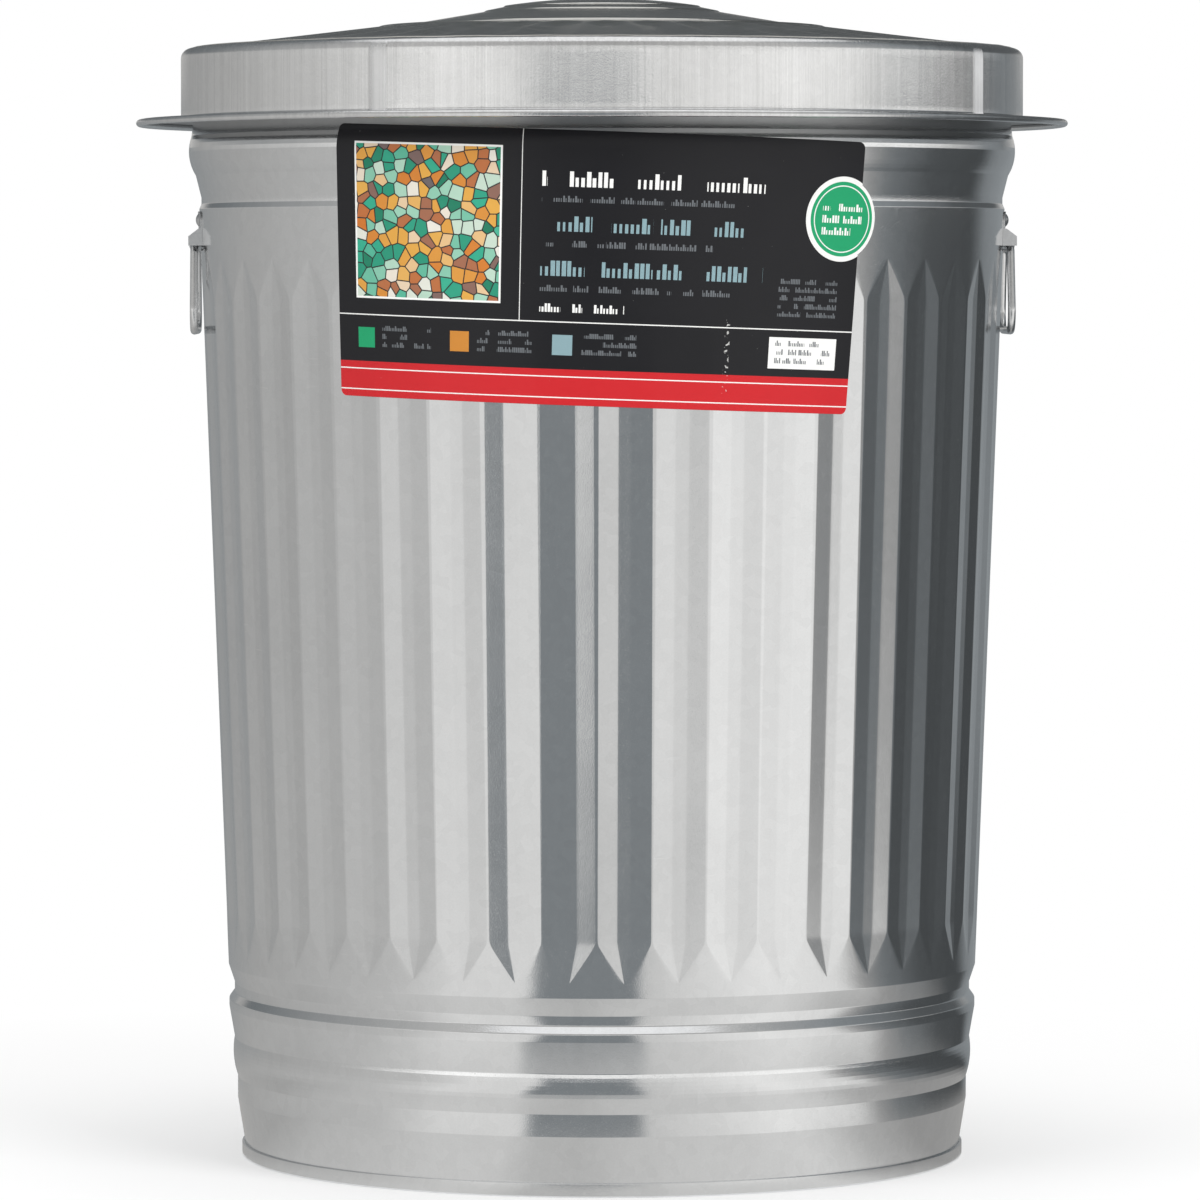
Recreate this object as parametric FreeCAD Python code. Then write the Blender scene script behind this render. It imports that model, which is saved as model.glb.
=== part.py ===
import FreeCAD, Part
import math
import os

# A round steel dustbin with a fluted, tapered wall, two drop handles and a lift-off lid.
# Millimetres. The origin is the middle of the base, +Z is up, and the label faces -Y.

# Sheets and wires
WALL_SHEET = 0.5
BOTTOM_SHEET = 0.5
LID_SHEET = 0.5
EAR_SHEET = 0.9
LABEL_SHEET = 0.25
RIM_WIRE_RADIUS = 1.4
BRIM_WIRE_RADIUS = 1.3
HANDLE_WIRE_RADIUS = 2.4

# Clearances
SEAM_GAP = 0.05
WIRE_FIT = 0.25
SEAT_GAP = 0.05
LABEL_GAP = 0.1
BEARING_CLEARANCE = 0.08
HANDLE_WALL_GAP = 0.8
LEG_SLOT_GAP = 0.7
EAR_BAND_GAP = 1.6
LID_SEAT_GAP = 0.3
LID_SIDE_GAP = 2.1

# Wall: one long cone, with formed bands below and above the flutes
RIM_HEIGHT = 677.8
CONE_BASE_RADIUS = 226.4
CONE_SLOPE = 0.0365
FOOT_DRAW = 5.4
HEM_HEIGHT = 8.5
HEM_RELIEF = 1.0
FLOOR_HEIGHT = 7.0
FOOT_HEIGHT = 36.0
FOOT_INSET = 2.5
LEDGE_HEIGHT = 13.5
LOW_BEAD_HEIGHT = 24.0
LOW_BEAD_INSET = 0.9
SADDLE_INSET = 2.0
SAW_RISE = 19.0
SAW_PROUD = 0.6
SAW_FLAT = 3.0
SAW_DROP = 7.0
GROOVE_INSET = 3.1
GROOVE_HEIGHT = 5.0
GROOVE_RISE = 11.0

# Flutes pressed inwards, each a flat floor between two flanks, with pointed ends
FLUTE_COUNT = 45
FLUTE_LEAD = 8.5
FLUTE_END = 23.5
FLUTE_DEPTH = 1.55
FLUTE_RIDGE = 1.2
FLUTE_FLOOR = 8.2

# Bands over the flutes
LIP_HEIGHT = 3.0
NOTCH_DEPTH = 1.3
NOTCH_HEIGHT = 4.0
SHOULDER_HEIGHT = 13.5
SHOULDER_RISE = 3.4
TOP_BEAD_HEIGHT = 24.0
TOP_BEAD_PROUD = 1.5
NECK_RISE = 6.0
NECK_HEIGHT = 50.3

# Lock seam down the back, in place of one flute
SEAM_WIDTH = 9.0
SEAM_PROUD = 0.9

# Lid
LID_CORNER = 6.0
LID_FLANGE = 8.8
SKIRT_DEPTH = 42.3
BRIM_REACH = 27.5
BRIM_DROOP = 2.5
BRIM_BEND = 1.0
ROLL_TURN = 285.0
ROLL_STEP = 60.0
CROWN_EDGE = 0.8
SEAT_RING_WIDTH = 9.0
FAN_RISE = 13.6
RING_WIDTH = 21.0
RING_RISE = 1.4
STEP_WIDTH = 44.0
STEP_RISE = 8.2
BOSS_SIDE_WIDTH = 12.0
BOSS_SIDE_RISE = 3.1
BOSS_RADIUS = 60.0
BOSS_CROWN = 4.6
FAN_COUNT = 36
FAN_MARGIN = 4.0
FAN_END = 10.0
FAN_DEPTH = 1.6
FAN_RIDGE = 1.5
FAN_FLOOR = 8.0
LAP_AZIMUTHS = (-33.2, 62.8)
LAP_WIDTH = 13.0
LAP_PROUD = 0.4
LAP_END_GAP = 1.0

# Ears and drop handles
PIVOT_RISE = 8.5
EAR_SIDE = 7.0
TONGUE_SIDE = 10.0
TONGUE_TURN = 115.0
ROOF_SPACE = 3.3
ROOF_SLOPE = 4.7
EAR_FLANGE_HEIGHT = 10.5
EAR_CORNER = 6.0
RIVET_EDGE = 12.0
RIVET_RADIUS = 2.0
RIVET_HEAD_LIP = 2.0
RIVET_HEAD_HEIGHT = 1.8
RIVET_TAIL_LIP = 1.2
RIVET_TAIL_HEIGHT = 1.2
HANDLE_DROP = 52.0
HANDLE_TOP_WIDTH = 54.0
HANDLE_LOW_WIDTH = 85.0
HANDLE_TOP_BEND = 7.0
HANDLE_LOW_BEND = 12.0

# Label
LABEL_AZIMUTH = -1.2
LABEL_WIDTH = 309.0
LABEL_HEIGHT = 160.0
LABEL_TILT = 2.0
LABEL_CORNER = 4.0
LABEL_DROP = 51.8
LUG_HALF_WIDTH = 20.5
LUG_HALF_HEIGHT = 25.3
LUG_INSET = 12.5
LUG_DROP = 46.0

AXIS = FreeCAD.Vector(0, 0, 1)
CENTRE = FreeCAD.Vector(0, 0, 0)
CUTTER_LIFT = 5.0
CUTTER_OVERRUN = 1.0


def cone(z):
    """Outer radius of the long cone at a height."""
    return CONE_BASE_RADIUS + CONE_SLOPE * z


# Ear sizes that follow from the handle
EAR_HALF_WIDTH = HANDLE_TOP_WIDTH / 2 + EAR_SIDE
TONGUE_HALF_WIDTH = HANDLE_TOP_WIDTH / 2 - TONGUE_SIDE
RIVET_SPREAD = 2 * (EAR_HALF_WIDTH - RIVET_EDGE)
ROOF_LOW = HANDLE_WIRE_RADIUS + ROOF_SPACE
ROOF_HIGH = ROOF_LOW + ROOF_SLOPE

# Heights of the foot and the flutes' lower ends, stacked from the floor
Z_FOOT = FOOT_HEIGHT
Z_LEDGE = Z_FOOT + LEDGE_HEIGHT
Z_SADDLE = Z_LEDGE + LOW_BEAD_HEIGHT
Z_SAW = Z_SADDLE + SAW_RISE
Z_SAW_TOP = Z_SAW + SAW_FLAT
Z_GROOVE = Z_SAW_TOP + SAW_DROP
Z_GROOVE_TOP = Z_GROOVE + GROOVE_HEIGHT
Z_CONE = Z_GROOVE_TOP + GROOVE_RISE
Z_TIP = Z_CONE + FLUTE_LEAD
Z_FULL = Z_TIP + FLUTE_END
Z_BAND_LOW = Z_CONE + FLUTE_LEAD / 2

# Heights of the bands, the ears and the flutes' upper ends, hung from the rim
Z_RIM = RIM_HEIGHT
Z_NECK = Z_RIM - NECK_HEIGHT
Z_SHOULDER = Z_NECK - TOP_BEAD_HEIGHT
Z_NOTCH_TOP = Z_SHOULDER - SHOULDER_HEIGHT
Z_NOTCH = Z_NOTCH_TOP - NOTCH_HEIGHT
Z_LIP = Z_NOTCH - LIP_HEIGHT
Z_EAR_TOP = Z_LIP - EAR_BAND_GAP
Z_RIVET = Z_EAR_TOP - EAR_FLANGE_HEIGHT / 2
Z_PIVOT = Z_EAR_TOP - EAR_FLANGE_HEIGHT - ROOF_HIGH
Z_TIP_TOP = Z_PIVOT - PIVOT_RISE
Z_BAND_TOP = Z_TIP_TOP + FLUTE_LEAD / 2

# Radii that follow
FOOT_RADIUS = CONE_BASE_RADIUS - FOOT_DRAW
NOTCH_RADIUS = cone(Z_LIP) - NOTCH_DEPTH
SHOULDER_RADIUS = NOTCH_RADIUS + SHOULDER_RISE
NECK_RADIUS = NOTCH_RADIUS + NECK_RISE
RIM_BORE = RIM_WIRE_RADIUS + WIRE_FIT
RIM_ROLL = RIM_BORE + WALL_SHEET
RIM_CENTRE = NECK_RADIUS + RIM_BORE
SKIRT_RADIUS = RIM_CENTRE + RIM_ROLL + LID_SIDE_GAP + LID_SHEET
CORNER_RADIUS = SKIRT_RADIUS - LID_CORNER
CORNER_REACH = LID_CORNER - LID_SHEET - RIM_ROLL - LID_SEAT_GAP
CORNER_SIDE = RIM_CENTRE - CORNER_RADIUS
CORNER_RISE = math.sqrt(CORNER_REACH ** 2 - CORNER_SIDE ** 2) if CORNER_SIDE > 0 else CORNER_REACH
Z_CORNER = Z_RIM - CORNER_RISE
Z_FLANGE = Z_CORNER + LID_CORNER
Z_BRIM = Z_FLANGE - SKIRT_DEPTH
BRIM_BORE = BRIM_WIRE_RADIUS + WIRE_FIT
BRIM_ROLL = BRIM_BORE + LID_SHEET
CROWN_RADIUS = CORNER_RADIUS - CROWN_EDGE
PIVOT_RADIUS = cone(Z_PIVOT) + HANDLE_WALL_GAP + HANDLE_WIRE_RADIUS


def vector(r, z):
    """Point of a side section: distance from the axis and height."""
    return FreeCAD.Vector(r, 0, z)


def polar(r, z, degrees):
    """Point at a radius, height and angle from +X."""
    angle = math.radians(degrees)
    return FreeCAD.Vector(r * math.cos(angle), r * math.sin(angle), z)


def trace(start, moves):
    """Edges of a side section: a point is a straight run, a pair of points is an arc through the first."""
    edges = []
    here = start
    for move in moves:
        if isinstance(move[0], tuple):
            via, end = move
            edges.append(Part.Arc(vector(*here), vector(*via), vector(*end)).toShape())
        else:
            end = move
            edges.append(Part.LineSegment(vector(*here), vector(*end)).toShape())
        here = end
    return edges


def shifted(moves, dr, dz):
    """The same run of points, moved sideways and up."""
    result = []
    for move in moves:
        if isinstance(move[0], tuple):
            result.append(tuple((r + dr, z + dz) for r, z in move))
        else:
            result.append((move[0] + dr, move[1] + dz))
    return result


def backwards(start, moves):
    """The same run of points from its end to its start, as a new start and moves."""
    stops = [start]
    for move in moves:
        stops.append(move[1] if isinstance(move[0], tuple) else move)
    result = []
    for index in range(len(moves) - 1, -1, -1):
        move = moves[index]
        back = stops[index]
        result.append((move[0], back) if isinstance(move[0], tuple) else back)
    return stops[-1], result


def lathe(start, moves, turn=360.0, first=0.0):
    """Solid turned from a closed side section, over part of a turn if asked."""
    face = Part.Face(Part.Wire(trace(start, moves + [start])))
    solid = face.revolve(CENTRE, AXIS, turn)
    solid.rotate(CENTRE, AXIS, first)
    return solid


def sheet_ring(start, moves, dr, dz, turn=360.0, first=0.0):
    """Ring of sheet between a run of points and the same run moved by the sheet's thickness."""
    inner_end, inner_moves = backwards(start, moves)
    inner_end = (inner_end[0] + dr, inner_end[1] + dz)
    inner_moves = shifted(inner_moves, dr, dz)
    return lathe(start, moves + [inner_end] + inner_moves, turn, first)


def arc_point(centre, radius, degrees):
    """Point of a circle in a side section."""
    angle = math.radians(degrees)
    return (centre[0] + radius * math.cos(angle), centre[1] + radius * math.sin(angle))


def bent(centre, radius, first, last):
    """Moves round a rolled edge from one angle to another, in short arcs."""
    count = math.ceil(abs(last - first) / ROLL_STEP)
    moves = []
    for index in range(count):
        half = first + (last - first) * (index + 0.5) / count
        stop = first + (last - first) * (index + 1) / count
        moves.append((arc_point(centre, radius, half), arc_point(centre, radius, stop)))
    return moves


def flute(stations, depth, shift, mouth, floor, lift):
    """Cutter for one pressed flute along +X: pointed tip, full section, full section, pointed tip.

    The stations are four section points on the plain surface. Depth, shift and lift are section
    vectors: floor under the surface, whole cutter moved, and its back clear of the surface.
    Mouth and floor are half angles.
    """
    def at(station, vec, degrees):
        return polar(station[0] + shift[0] + vec[0], station[1] + shift[1] + vec[1], degrees)

    def section(station):
        corners = []
        for sign in (-1, 1):
            bottom = at(station, depth, sign * floor)
            edge = at(station, (0, 0), sign * mouth)
            over = edge + (edge - bottom) * CUTTER_OVERRUN
            back = over + vector(*lift)
            corners += [back, over, bottom] if sign < 0 else [bottom, over, back]
        return Part.makePolygon(corners + corners[:1])

    tip_a = Part.Vertex(at(stations[0], (0, 0), 0))
    tip_b = Part.Vertex(at(stations[3], (0, 0), 0))
    return Part.makeLoft([tip_a, section(stations[1]), section(stations[2]), tip_b], True, True)


def pressed_ring(low, high, sheet, depth, ends, count, ridge, floor_width, plain=()):
    """Ring of sheet on a cone from one section point to another, pressed into flutes.

    Sheet and depth are section vectors from the outer face. Ends are the flutes' margin and the
    length of their points, as shares of the ring. Places named in plain have no flute.
    """
    pitch = 360.0 / count
    middle = (low[0] + high[0]) / 2
    mouth = pitch / 2 - math.degrees(ridge / 2 / middle)
    floor = math.degrees(floor_width / 2 / middle)
    stations = []
    for share in (ends[0], ends[0] + ends[1], 1 - ends[0] - ends[1], 1 - ends[0]):
        stations.append((low[0] + share * (high[0] - low[0]), low[1] + share * (high[1] - low[1])))
    lift = (-CUTTER_LIFT * depth[0], -CUTTER_LIFT * depth[1])
    layers = []
    for layer in (0, 1):
        skin = (layer * sheet[0], layer * sheet[1])
        back = ((2 + layer) * (depth[0] + sheet[0]), (2 + layer) * (depth[1] + sheet[1]))
        block = lathe((low[0] + skin[0], low[1] + skin[1]), [
            (high[0] + skin[0], high[1] + skin[1]),
            (high[0] + back[0], high[1] + back[1]),
            (low[0] + back[0], low[1] + back[1]),
        ], pitch, -pitch / 2)
        layers.append(block.cut(flute(stations, depth, skin, mouth, floor, lift)))
    pressed = open_faces(layers[0].cut(layers[1]), pitch)
    flat = open_faces(sheet_ring(low, [high], sheet[0], sheet[1], pitch, -pitch / 2), pitch)
    faces = []
    for index in range(count):
        for face in (flat if index in plain else pressed):
            copy = face.copy()
            copy.rotate(CENTRE, AXIS, index * pitch)
            faces.append(copy)
    shell = Part.Shell(faces)
    shell.sewShape()
    return Part.makeSolid(shell)


def open_faces(sector, pitch):
    """Faces of one sector, without the two flat cuts where its neighbours join."""
    faces = []
    for face in sector.Faces:
        angles = [math.degrees(math.atan2(v.Point.y, v.Point.x)) for v in face.Vertexes]
        if max(angles) - min(angles) > pitch / 1000:
            faces.append(face)
    return faces


def low_band():
    """Outer run of the drawn-in foot, the ledge and the three formed beads, going up."""
    ledge = cone(Z_FOOT) - FOOT_INSET
    bead_mid = (Z_LEDGE + Z_SADDLE) / 2
    saw = cone(Z_SAW) + SAW_PROUD
    groove = cone(Z_GROOVE) - GROOVE_INSET
    return [
        (FOOT_RADIUS, HEM_HEIGHT + HEM_RELIEF),
        (ledge, Z_FOOT),
        (ledge, Z_LEDGE),
        ((cone(bead_mid) - LOW_BEAD_INSET, bead_mid), (cone(Z_SADDLE) - SADDLE_INSET, Z_SADDLE)),
        (saw, Z_SAW),
        (saw, Z_SAW_TOP),
        (groove, Z_GROOVE),
        (groove, Z_GROOVE_TOP),
        (cone(Z_CONE), Z_CONE),
        (cone(Z_BAND_LOW), Z_BAND_LOW),
    ]


def top_band():
    """Outer run from the plain band over the notch and the big bead to the neck, going up."""
    bead_mid = (Z_SHOULDER + Z_NECK) / 2
    return [
        (cone(Z_LIP), Z_LIP),
        (NOTCH_RADIUS, Z_NOTCH),
        (NOTCH_RADIUS, Z_NOTCH_TOP),
        (SHOULDER_RADIUS, Z_SHOULDER),
        ((NECK_RADIUS + TOP_BEAD_PROUD, bead_mid), (NECK_RADIUS, Z_NECK)),
    ]


def foot_ring():
    """Lower part of the wall, ending in the hook of the bottom seam."""
    hook_low = BOTTOM_SHEET + SEAM_GAP
    hook_in = FOOT_RADIUS + BOTTOM_SHEET + 2 * SEAM_GAP
    hook_top = HEM_HEIGHT - BOTTOM_SHEET - SEAM_GAP
    start = (FOOT_RADIUS, hook_low + WALL_SHEET)
    up = low_band()
    end, down = backwards(start, up)
    inner_end = (end[0] - WALL_SHEET, end[1])
    inner = shifted(down, -WALL_SHEET, 0)
    inner[-1] = (FOOT_RADIUS - WALL_SHEET, hook_low)
    hook = [
        (hook_in + WALL_SHEET, hook_low),
        (hook_in + WALL_SHEET, hook_top),
        (hook_in, hook_top),
        (hook_in, hook_low + WALL_SHEET),
    ]
    return lathe(start, up + [inner_end] + inner + hook)


def fluted_ring():
    """Conical middle of the wall with its pressed flutes, less the one that the lock seam takes."""
    length = Z_BAND_TOP - Z_BAND_LOW
    ends = ((Z_TIP - Z_BAND_LOW) / length, FLUTE_END / length)
    low = (cone(Z_BAND_LOW), Z_BAND_LOW)
    top = (cone(Z_BAND_TOP), Z_BAND_TOP)
    sheet = (-WALL_SHEET, 0)
    depth = (-FLUTE_DEPTH, 0)
    return pressed_ring(low, top, sheet, depth, ends, FLUTE_COUNT, FLUTE_RIDGE, FLUTE_FLOOR, (seam_place(),))


def neck_ring():
    """Upper part of the wall, ending in the edge rolled round the rim wire."""
    start = (cone(Z_BAND_TOP), Z_BAND_TOP)
    up = top_band()
    end, down = backwards(start, up)
    centre = (RIM_CENTRE, Z_RIM)
    close = 180.0 - ROLL_TURN
    roll = [(NECK_RADIUS, Z_RIM)]
    roll += bent(centre, RIM_BORE, 180.0, close)
    roll.append(arc_point(centre, RIM_ROLL, close))
    roll += bent(centre, RIM_ROLL, close, 180.0)
    roll.append((NECK_RADIUS - WALL_SHEET, Z_NECK))
    return lathe(start, up + roll + shifted(down, -WALL_SHEET, 0))


def seam_place():
    """Number of the flute nearest the back, which the lock seam replaces."""
    return round(FLUTE_COUNT / 4)


def lock_seam():
    """Folded seam that stands proud of the wall down the back, from over the hem to the neck."""
    start = (FOOT_RADIUS - WALL_SHEET / 2, HEM_HEIGHT + HEM_RELIEF)
    run = low_band()[1:] + [(cone(Z_BAND_TOP), Z_BAND_TOP)] + top_band()
    run.append((NECK_RADIUS, Z_RIM - RIM_ROLL - SEAM_GAP))
    turn = math.degrees(SEAM_WIDTH / cone(Z_FULL))
    first = seam_place() * 360.0 / FLUTE_COUNT - turn / 2
    run = shifted(run, -WALL_SHEET / 2, 0)
    return sheet_ring(start, run, WALL_SHEET / 2 + SEAM_PROUD, 0, turn, first)


def can_wall():
    """Whole wall with the rivet holes for both ears."""
    wall = foot_ring().fuse([fluted_ring(), neck_ring(), lock_seam()]).removeSplitter()
    holes = []
    for side in (0.0, 180.0):
        holes += rivet_places(rivet_hole(), side)
    return wall.cut(holes)


def wire_ring(radius, centre, z):
    """Round wire bent into a ring."""
    return Part.makeTorus(centre, radius, FreeCAD.Vector(0, 0, z), AXIS)


def can_bottom():
    """Raised floor with its edge folded round the hook of the wall."""
    leg_out = FOOT_RADIUS - WALL_SHEET - SEAM_GAP
    leg_in = leg_out - BOTTOM_SHEET
    fold_in = FOOT_RADIUS + SEAM_GAP
    fold_out = fold_in + BOTTOM_SHEET
    fold_low = BOTTOM_SHEET + 2 * SEAM_GAP + WALL_SHEET
    cover_in = fold_out + WALL_SHEET + 2 * SEAM_GAP
    cover_out = cover_in + BOTTOM_SHEET
    cover_top = HEM_HEIGHT - BOTTOM_SHEET
    return lathe((0, FLOOR_HEIGHT - BOTTOM_SHEET), [
        (leg_in, FLOOR_HEIGHT - BOTTOM_SHEET),
        (leg_in, 0),
        (cover_out, 0),
        (cover_out, HEM_HEIGHT),
        (fold_in, HEM_HEIGHT),
        (fold_in, fold_low),
        (fold_out, fold_low),
        (fold_out, cover_top),
        (cover_in, cover_top),
        (cover_in, BOTTOM_SHEET),
        (leg_out, BOTTOM_SHEET),
        (leg_out, FLOOR_HEIGHT),
        (0, FLOOR_HEIGHT),
    ])


def brim_centre():
    """Middle of the wire in the brim's rolled edge, as a section point."""
    radius = SKIRT_RADIUS + BRIM_REACH - BRIM_ROLL
    droop = math.radians(BRIM_DROOP)
    drop = (radius - SKIRT_RADIUS) * math.tan(droop) + BRIM_ROLL / math.cos(droop)
    return (radius, Z_BRIM - drop)


def lid_skirt():
    """Band of the lid from its turned-in flange down to the brim's rolled edge, with its lap seams."""
    inner = SKIRT_RADIUS - LID_SHEET
    corner = (CORNER_RADIUS, Z_CORNER)
    corner_in = LID_CORNER - LID_SHEET
    wire = brim_centre()
    start_turn = 90.0 - BRIM_DROOP
    end_turn = start_turn - ROLL_TURN
    droop = math.radians(BRIM_DROOP)
    tangent = BRIM_BEND * math.tan((math.pi / 2 - droop) / 2)
    bend = (SKIRT_RADIUS + BRIM_BEND, Z_BRIM + tangent)
    bend_half = 180.0 + (90.0 - BRIM_DROOP) / 2
    bend_end = 270.0 - BRIM_DROOP
    bend_in = BRIM_BEND + LID_SHEET
    flange_edge = CORNER_RADIUS - LID_FLANGE
    over = [
        (CORNER_RADIUS, Z_FLANGE),
        (arc_point(corner, LID_CORNER, 45), (SKIRT_RADIUS, Z_CORNER)),
        (SKIRT_RADIUS, bend[1]),
        (arc_point(bend, BRIM_BEND, bend_half), arc_point(bend, BRIM_BEND, bend_end)),
        arc_point(wire, BRIM_ROLL, start_turn),
    ]
    under = [
        arc_point(bend, bend_in, bend_end),
        (arc_point(bend, bend_in, bend_half), (inner, bend[1])),
        (inner, Z_CORNER),
        (arc_point(corner, corner_in, 45), (CORNER_RADIUS, Z_FLANGE - LID_SHEET)),
        (flange_edge, Z_FLANGE - LID_SHEET),
    ]
    roll = bent(wire, BRIM_ROLL, start_turn, end_turn)
    roll.append(arc_point(wire, BRIM_BORE, end_turn))
    roll += bent(wire, BRIM_BORE, end_turn, start_turn)
    skirt = lathe((flange_edge, Z_FLANGE), over + roll + under)
    laps = []
    turn = math.degrees(LAP_WIDTH / SKIRT_RADIUS)
    middle = SKIRT_RADIUS - LID_SHEET / 2
    for azimuth in LAP_AZIMUTHS:
        laps.append(lathe((middle, bend[1] + LAP_END_GAP), [
            (SKIRT_RADIUS + LAP_PROUD, bend[1] + LAP_END_GAP),
            (SKIRT_RADIUS + LAP_PROUD, Z_CORNER - LAP_END_GAP),
            (middle, Z_CORNER - LAP_END_GAP),
        ], turn, azimuth - 90.0 - turn / 2))
    return skirt.fuse(laps)


def lid_crown():
    """Pressed top of the lid: seat ring, fan flutes, flat ring, step and centre boss."""
    seat = Z_FLANGE + LID_SHEET
    step = BOSS_RADIUS + BOSS_SIDE_WIDTH
    ring = step + STEP_WIDTH
    fan_out = (CROWN_RADIUS - SEAT_RING_WIDTH, seat)
    fan_in = (ring + RING_WIDTH, seat + FAN_RISE)
    ring_in = (ring, fan_in[1] + RING_RISE)
    step_in = (step, ring_in[1] + STEP_RISE)
    boss = (BOSS_RADIUS, step_in[1] + BOSS_SIDE_RISE)
    top = [ring_in, step_in, boss, dome(boss, BOSS_CROWN)]
    width = fan_out[0] - fan_in[0]
    ends = (FAN_MARGIN / width, FAN_END / width)
    sheet = (0, -LID_SHEET)
    depth = (0, -FAN_DEPTH)
    fan = pressed_ring(fan_in, fan_out, sheet, depth, ends, FAN_COUNT, FAN_RIDGE, FAN_FLOOR)
    rim = sheet_ring((CROWN_RADIUS, seat), [fan_out], *sheet)
    centre = sheet_ring(fan_in, top, *sheet)
    return fan.fuse([rim, centre]).removeSplitter()


def dome(edge, rise):
    """Arc from a section point up to the axis, as part of a circle about the axis."""
    radius = (edge[0] ** 2 + rise ** 2) / (2 * rise)
    centre = (0, edge[1] + rise - radius)
    half = math.degrees(math.asin(edge[0] / radius)) / 2
    return (arc_point(centre, radius, 90 - half), (0, edge[1] + rise))


def prism(points, half_width):
    """Block between a side section and its mirror, from -Y to +Y."""
    corners = [FreeCAD.Vector(x, -half_width, z) for x, z in points]
    face = Part.Face(Part.makePolygon(corners + corners[:1]))
    return face.extrude(FreeCAD.Vector(0, 2 * half_width, 0))


def wall_plug(offset):
    """Solid filling the plain band of the cone, grown by an offset."""
    low = Z_TIP_TOP
    return lathe((0, low), [(cone(low) + offset, low), (cone(Z_LIP) + offset, Z_LIP), (0, Z_LIP)])


def ear():
    """Pressed hood on the +X side: roof, front, cheeks, tongue under the handle's bar, and wall flange."""
    bore = HANDLE_WIRE_RADIUS + BEARING_CLEARANCE
    front_in = PIVOT_RADIUS + bore
    front = front_in + EAR_SHEET
    deep = cone(Z_PIVOT) - EAR_HALF_WIDTH / 2
    wall = cone(Z_PIVOT + ROOF_HIGH)
    roof_low = Z_PIVOT + ROOF_LOW
    roof_high = Z_PIVOT + ROOF_HIGH
    pitch = math.atan2(roof_high - roof_low, front - wall)
    roof_drop = EAR_SHEET / math.cos(pitch)
    front_drop = roof_drop - EAR_SHEET * math.tan(pitch)
    below = Z_PIVOT - EAR_SHEET
    hood = prism([
        (deep, Z_PIVOT), (front, Z_PIVOT), (front, roof_low), (wall, roof_high), (deep, roof_high),
    ], EAR_HALF_WIDTH)
    hollow = prism([
        (deep, below),
        (front_in, below),
        (front_in, roof_low - front_drop),
        (wall, roof_high - roof_drop),
        (deep, roof_high - roof_drop),
    ], EAR_HALF_WIDTH - EAR_SHEET)
    slot_top = Z_PIVOT + HANDLE_WIRE_RADIUS + LEG_SLOT_GAP
    slot_width = EAR_HALF_WIDTH - EAR_SHEET - TONGUE_HALF_WIDTH
    slots = []
    for y in (TONGUE_HALF_WIDTH, -TONGUE_HALF_WIDTH - slot_width):
        corner = FreeCAD.Vector(PIVOT_RADIUS, y, below)
        slots.append(Part.makeBox(front - PIVOT_RADIUS + EAR_SHEET, slot_width, slot_top - below, corner))
    hood = hood.cut([hollow] + slots).fuse([tongue(bore), ear_flange()])
    return hood.cut([wall_plug(SEAT_GAP)] + rivet_places(rivet_hole(), 0.0)).removeSplitter()


def tongue(bore):
    """Curl of the hood's front that carries the handle's bar from below."""
    centre = (PIVOT_RADIUS, Z_PIVOT)
    outer = bore + EAR_SHEET
    edges = trace(arc_point(centre, bore, 0), [
        (arc_point(centre, bore, -TONGUE_TURN / 2), arc_point(centre, bore, -TONGUE_TURN)),
        arc_point(centre, outer, -TONGUE_TURN),
        (arc_point(centre, outer, -TONGUE_TURN / 2), arc_point(centre, outer, 0)),
        arc_point(centre, bore, 0),
    ])
    face = Part.Face(Part.Wire(edges))
    face.translate(FreeCAD.Vector(0, -TONGUE_HALF_WIDTH, 0))
    return face.extrude(FreeCAD.Vector(0, 2 * TONGUE_HALF_WIDTH, 0))


def ear_flange():
    """Plate over the hood that lies against the wall, with rounded upper corners."""
    low = Z_PIVOT + ROOF_HIGH - 2 * EAR_SHEET
    corner = FreeCAD.Vector(0, -EAR_HALF_WIDTH, low)
    block = Part.makeBox(2 * PIVOT_RADIUS, 2 * EAR_HALF_WIDTH, Z_EAR_TOP - low, corner)
    upper = [edge for edge in block.Edges if is_along_x(edge) and edge.CenterOfMass.z > Z_RIVET]
    block = block.makeFillet(EAR_CORNER, upper)
    return block.common(wall_plug(SEAT_GAP + EAR_SHEET))


def is_along_x(edge):
    """Whether a straight edge runs along X."""
    first, last = edge.Vertexes[0].Point, edge.Vertexes[-1].Point
    return abs(first.x - last.x) > abs(first.y - last.y) + abs(first.z - last.z)


def rivet_places(solid, side):
    """Two copies of a solid made along +X, set square to the wall at the rivets of one ear."""
    lean = math.degrees(math.atan(CONE_SLOPE))
    swing = math.degrees(RIVET_SPREAD / 2 / cone(Z_RIVET))
    placed = []
    for sign in (-1, 1):
        copy = solid.copy()
        copy.rotate(CENTRE, FreeCAD.Vector(0, 1, 0), lean)
        copy.translate(FreeCAD.Vector(cone(Z_RIVET), 0, Z_RIVET))
        copy.rotate(CENTRE, AXIS, side + sign * swing)
        placed.append(copy)
    return placed


def rivet_hole():
    """Hole for a rivet's shank, from inside the wall to outside the ear."""
    length = WALL_SHEET + EAR_SHEET + 4 * RIVET_HEAD_HEIGHT
    start = FreeCAD.Vector(-length / 2, 0, 0)
    return Part.makeCylinder(RIVET_RADIUS + SEAM_GAP, length, start, FreeCAD.Vector(1, 0, 0))


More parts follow.
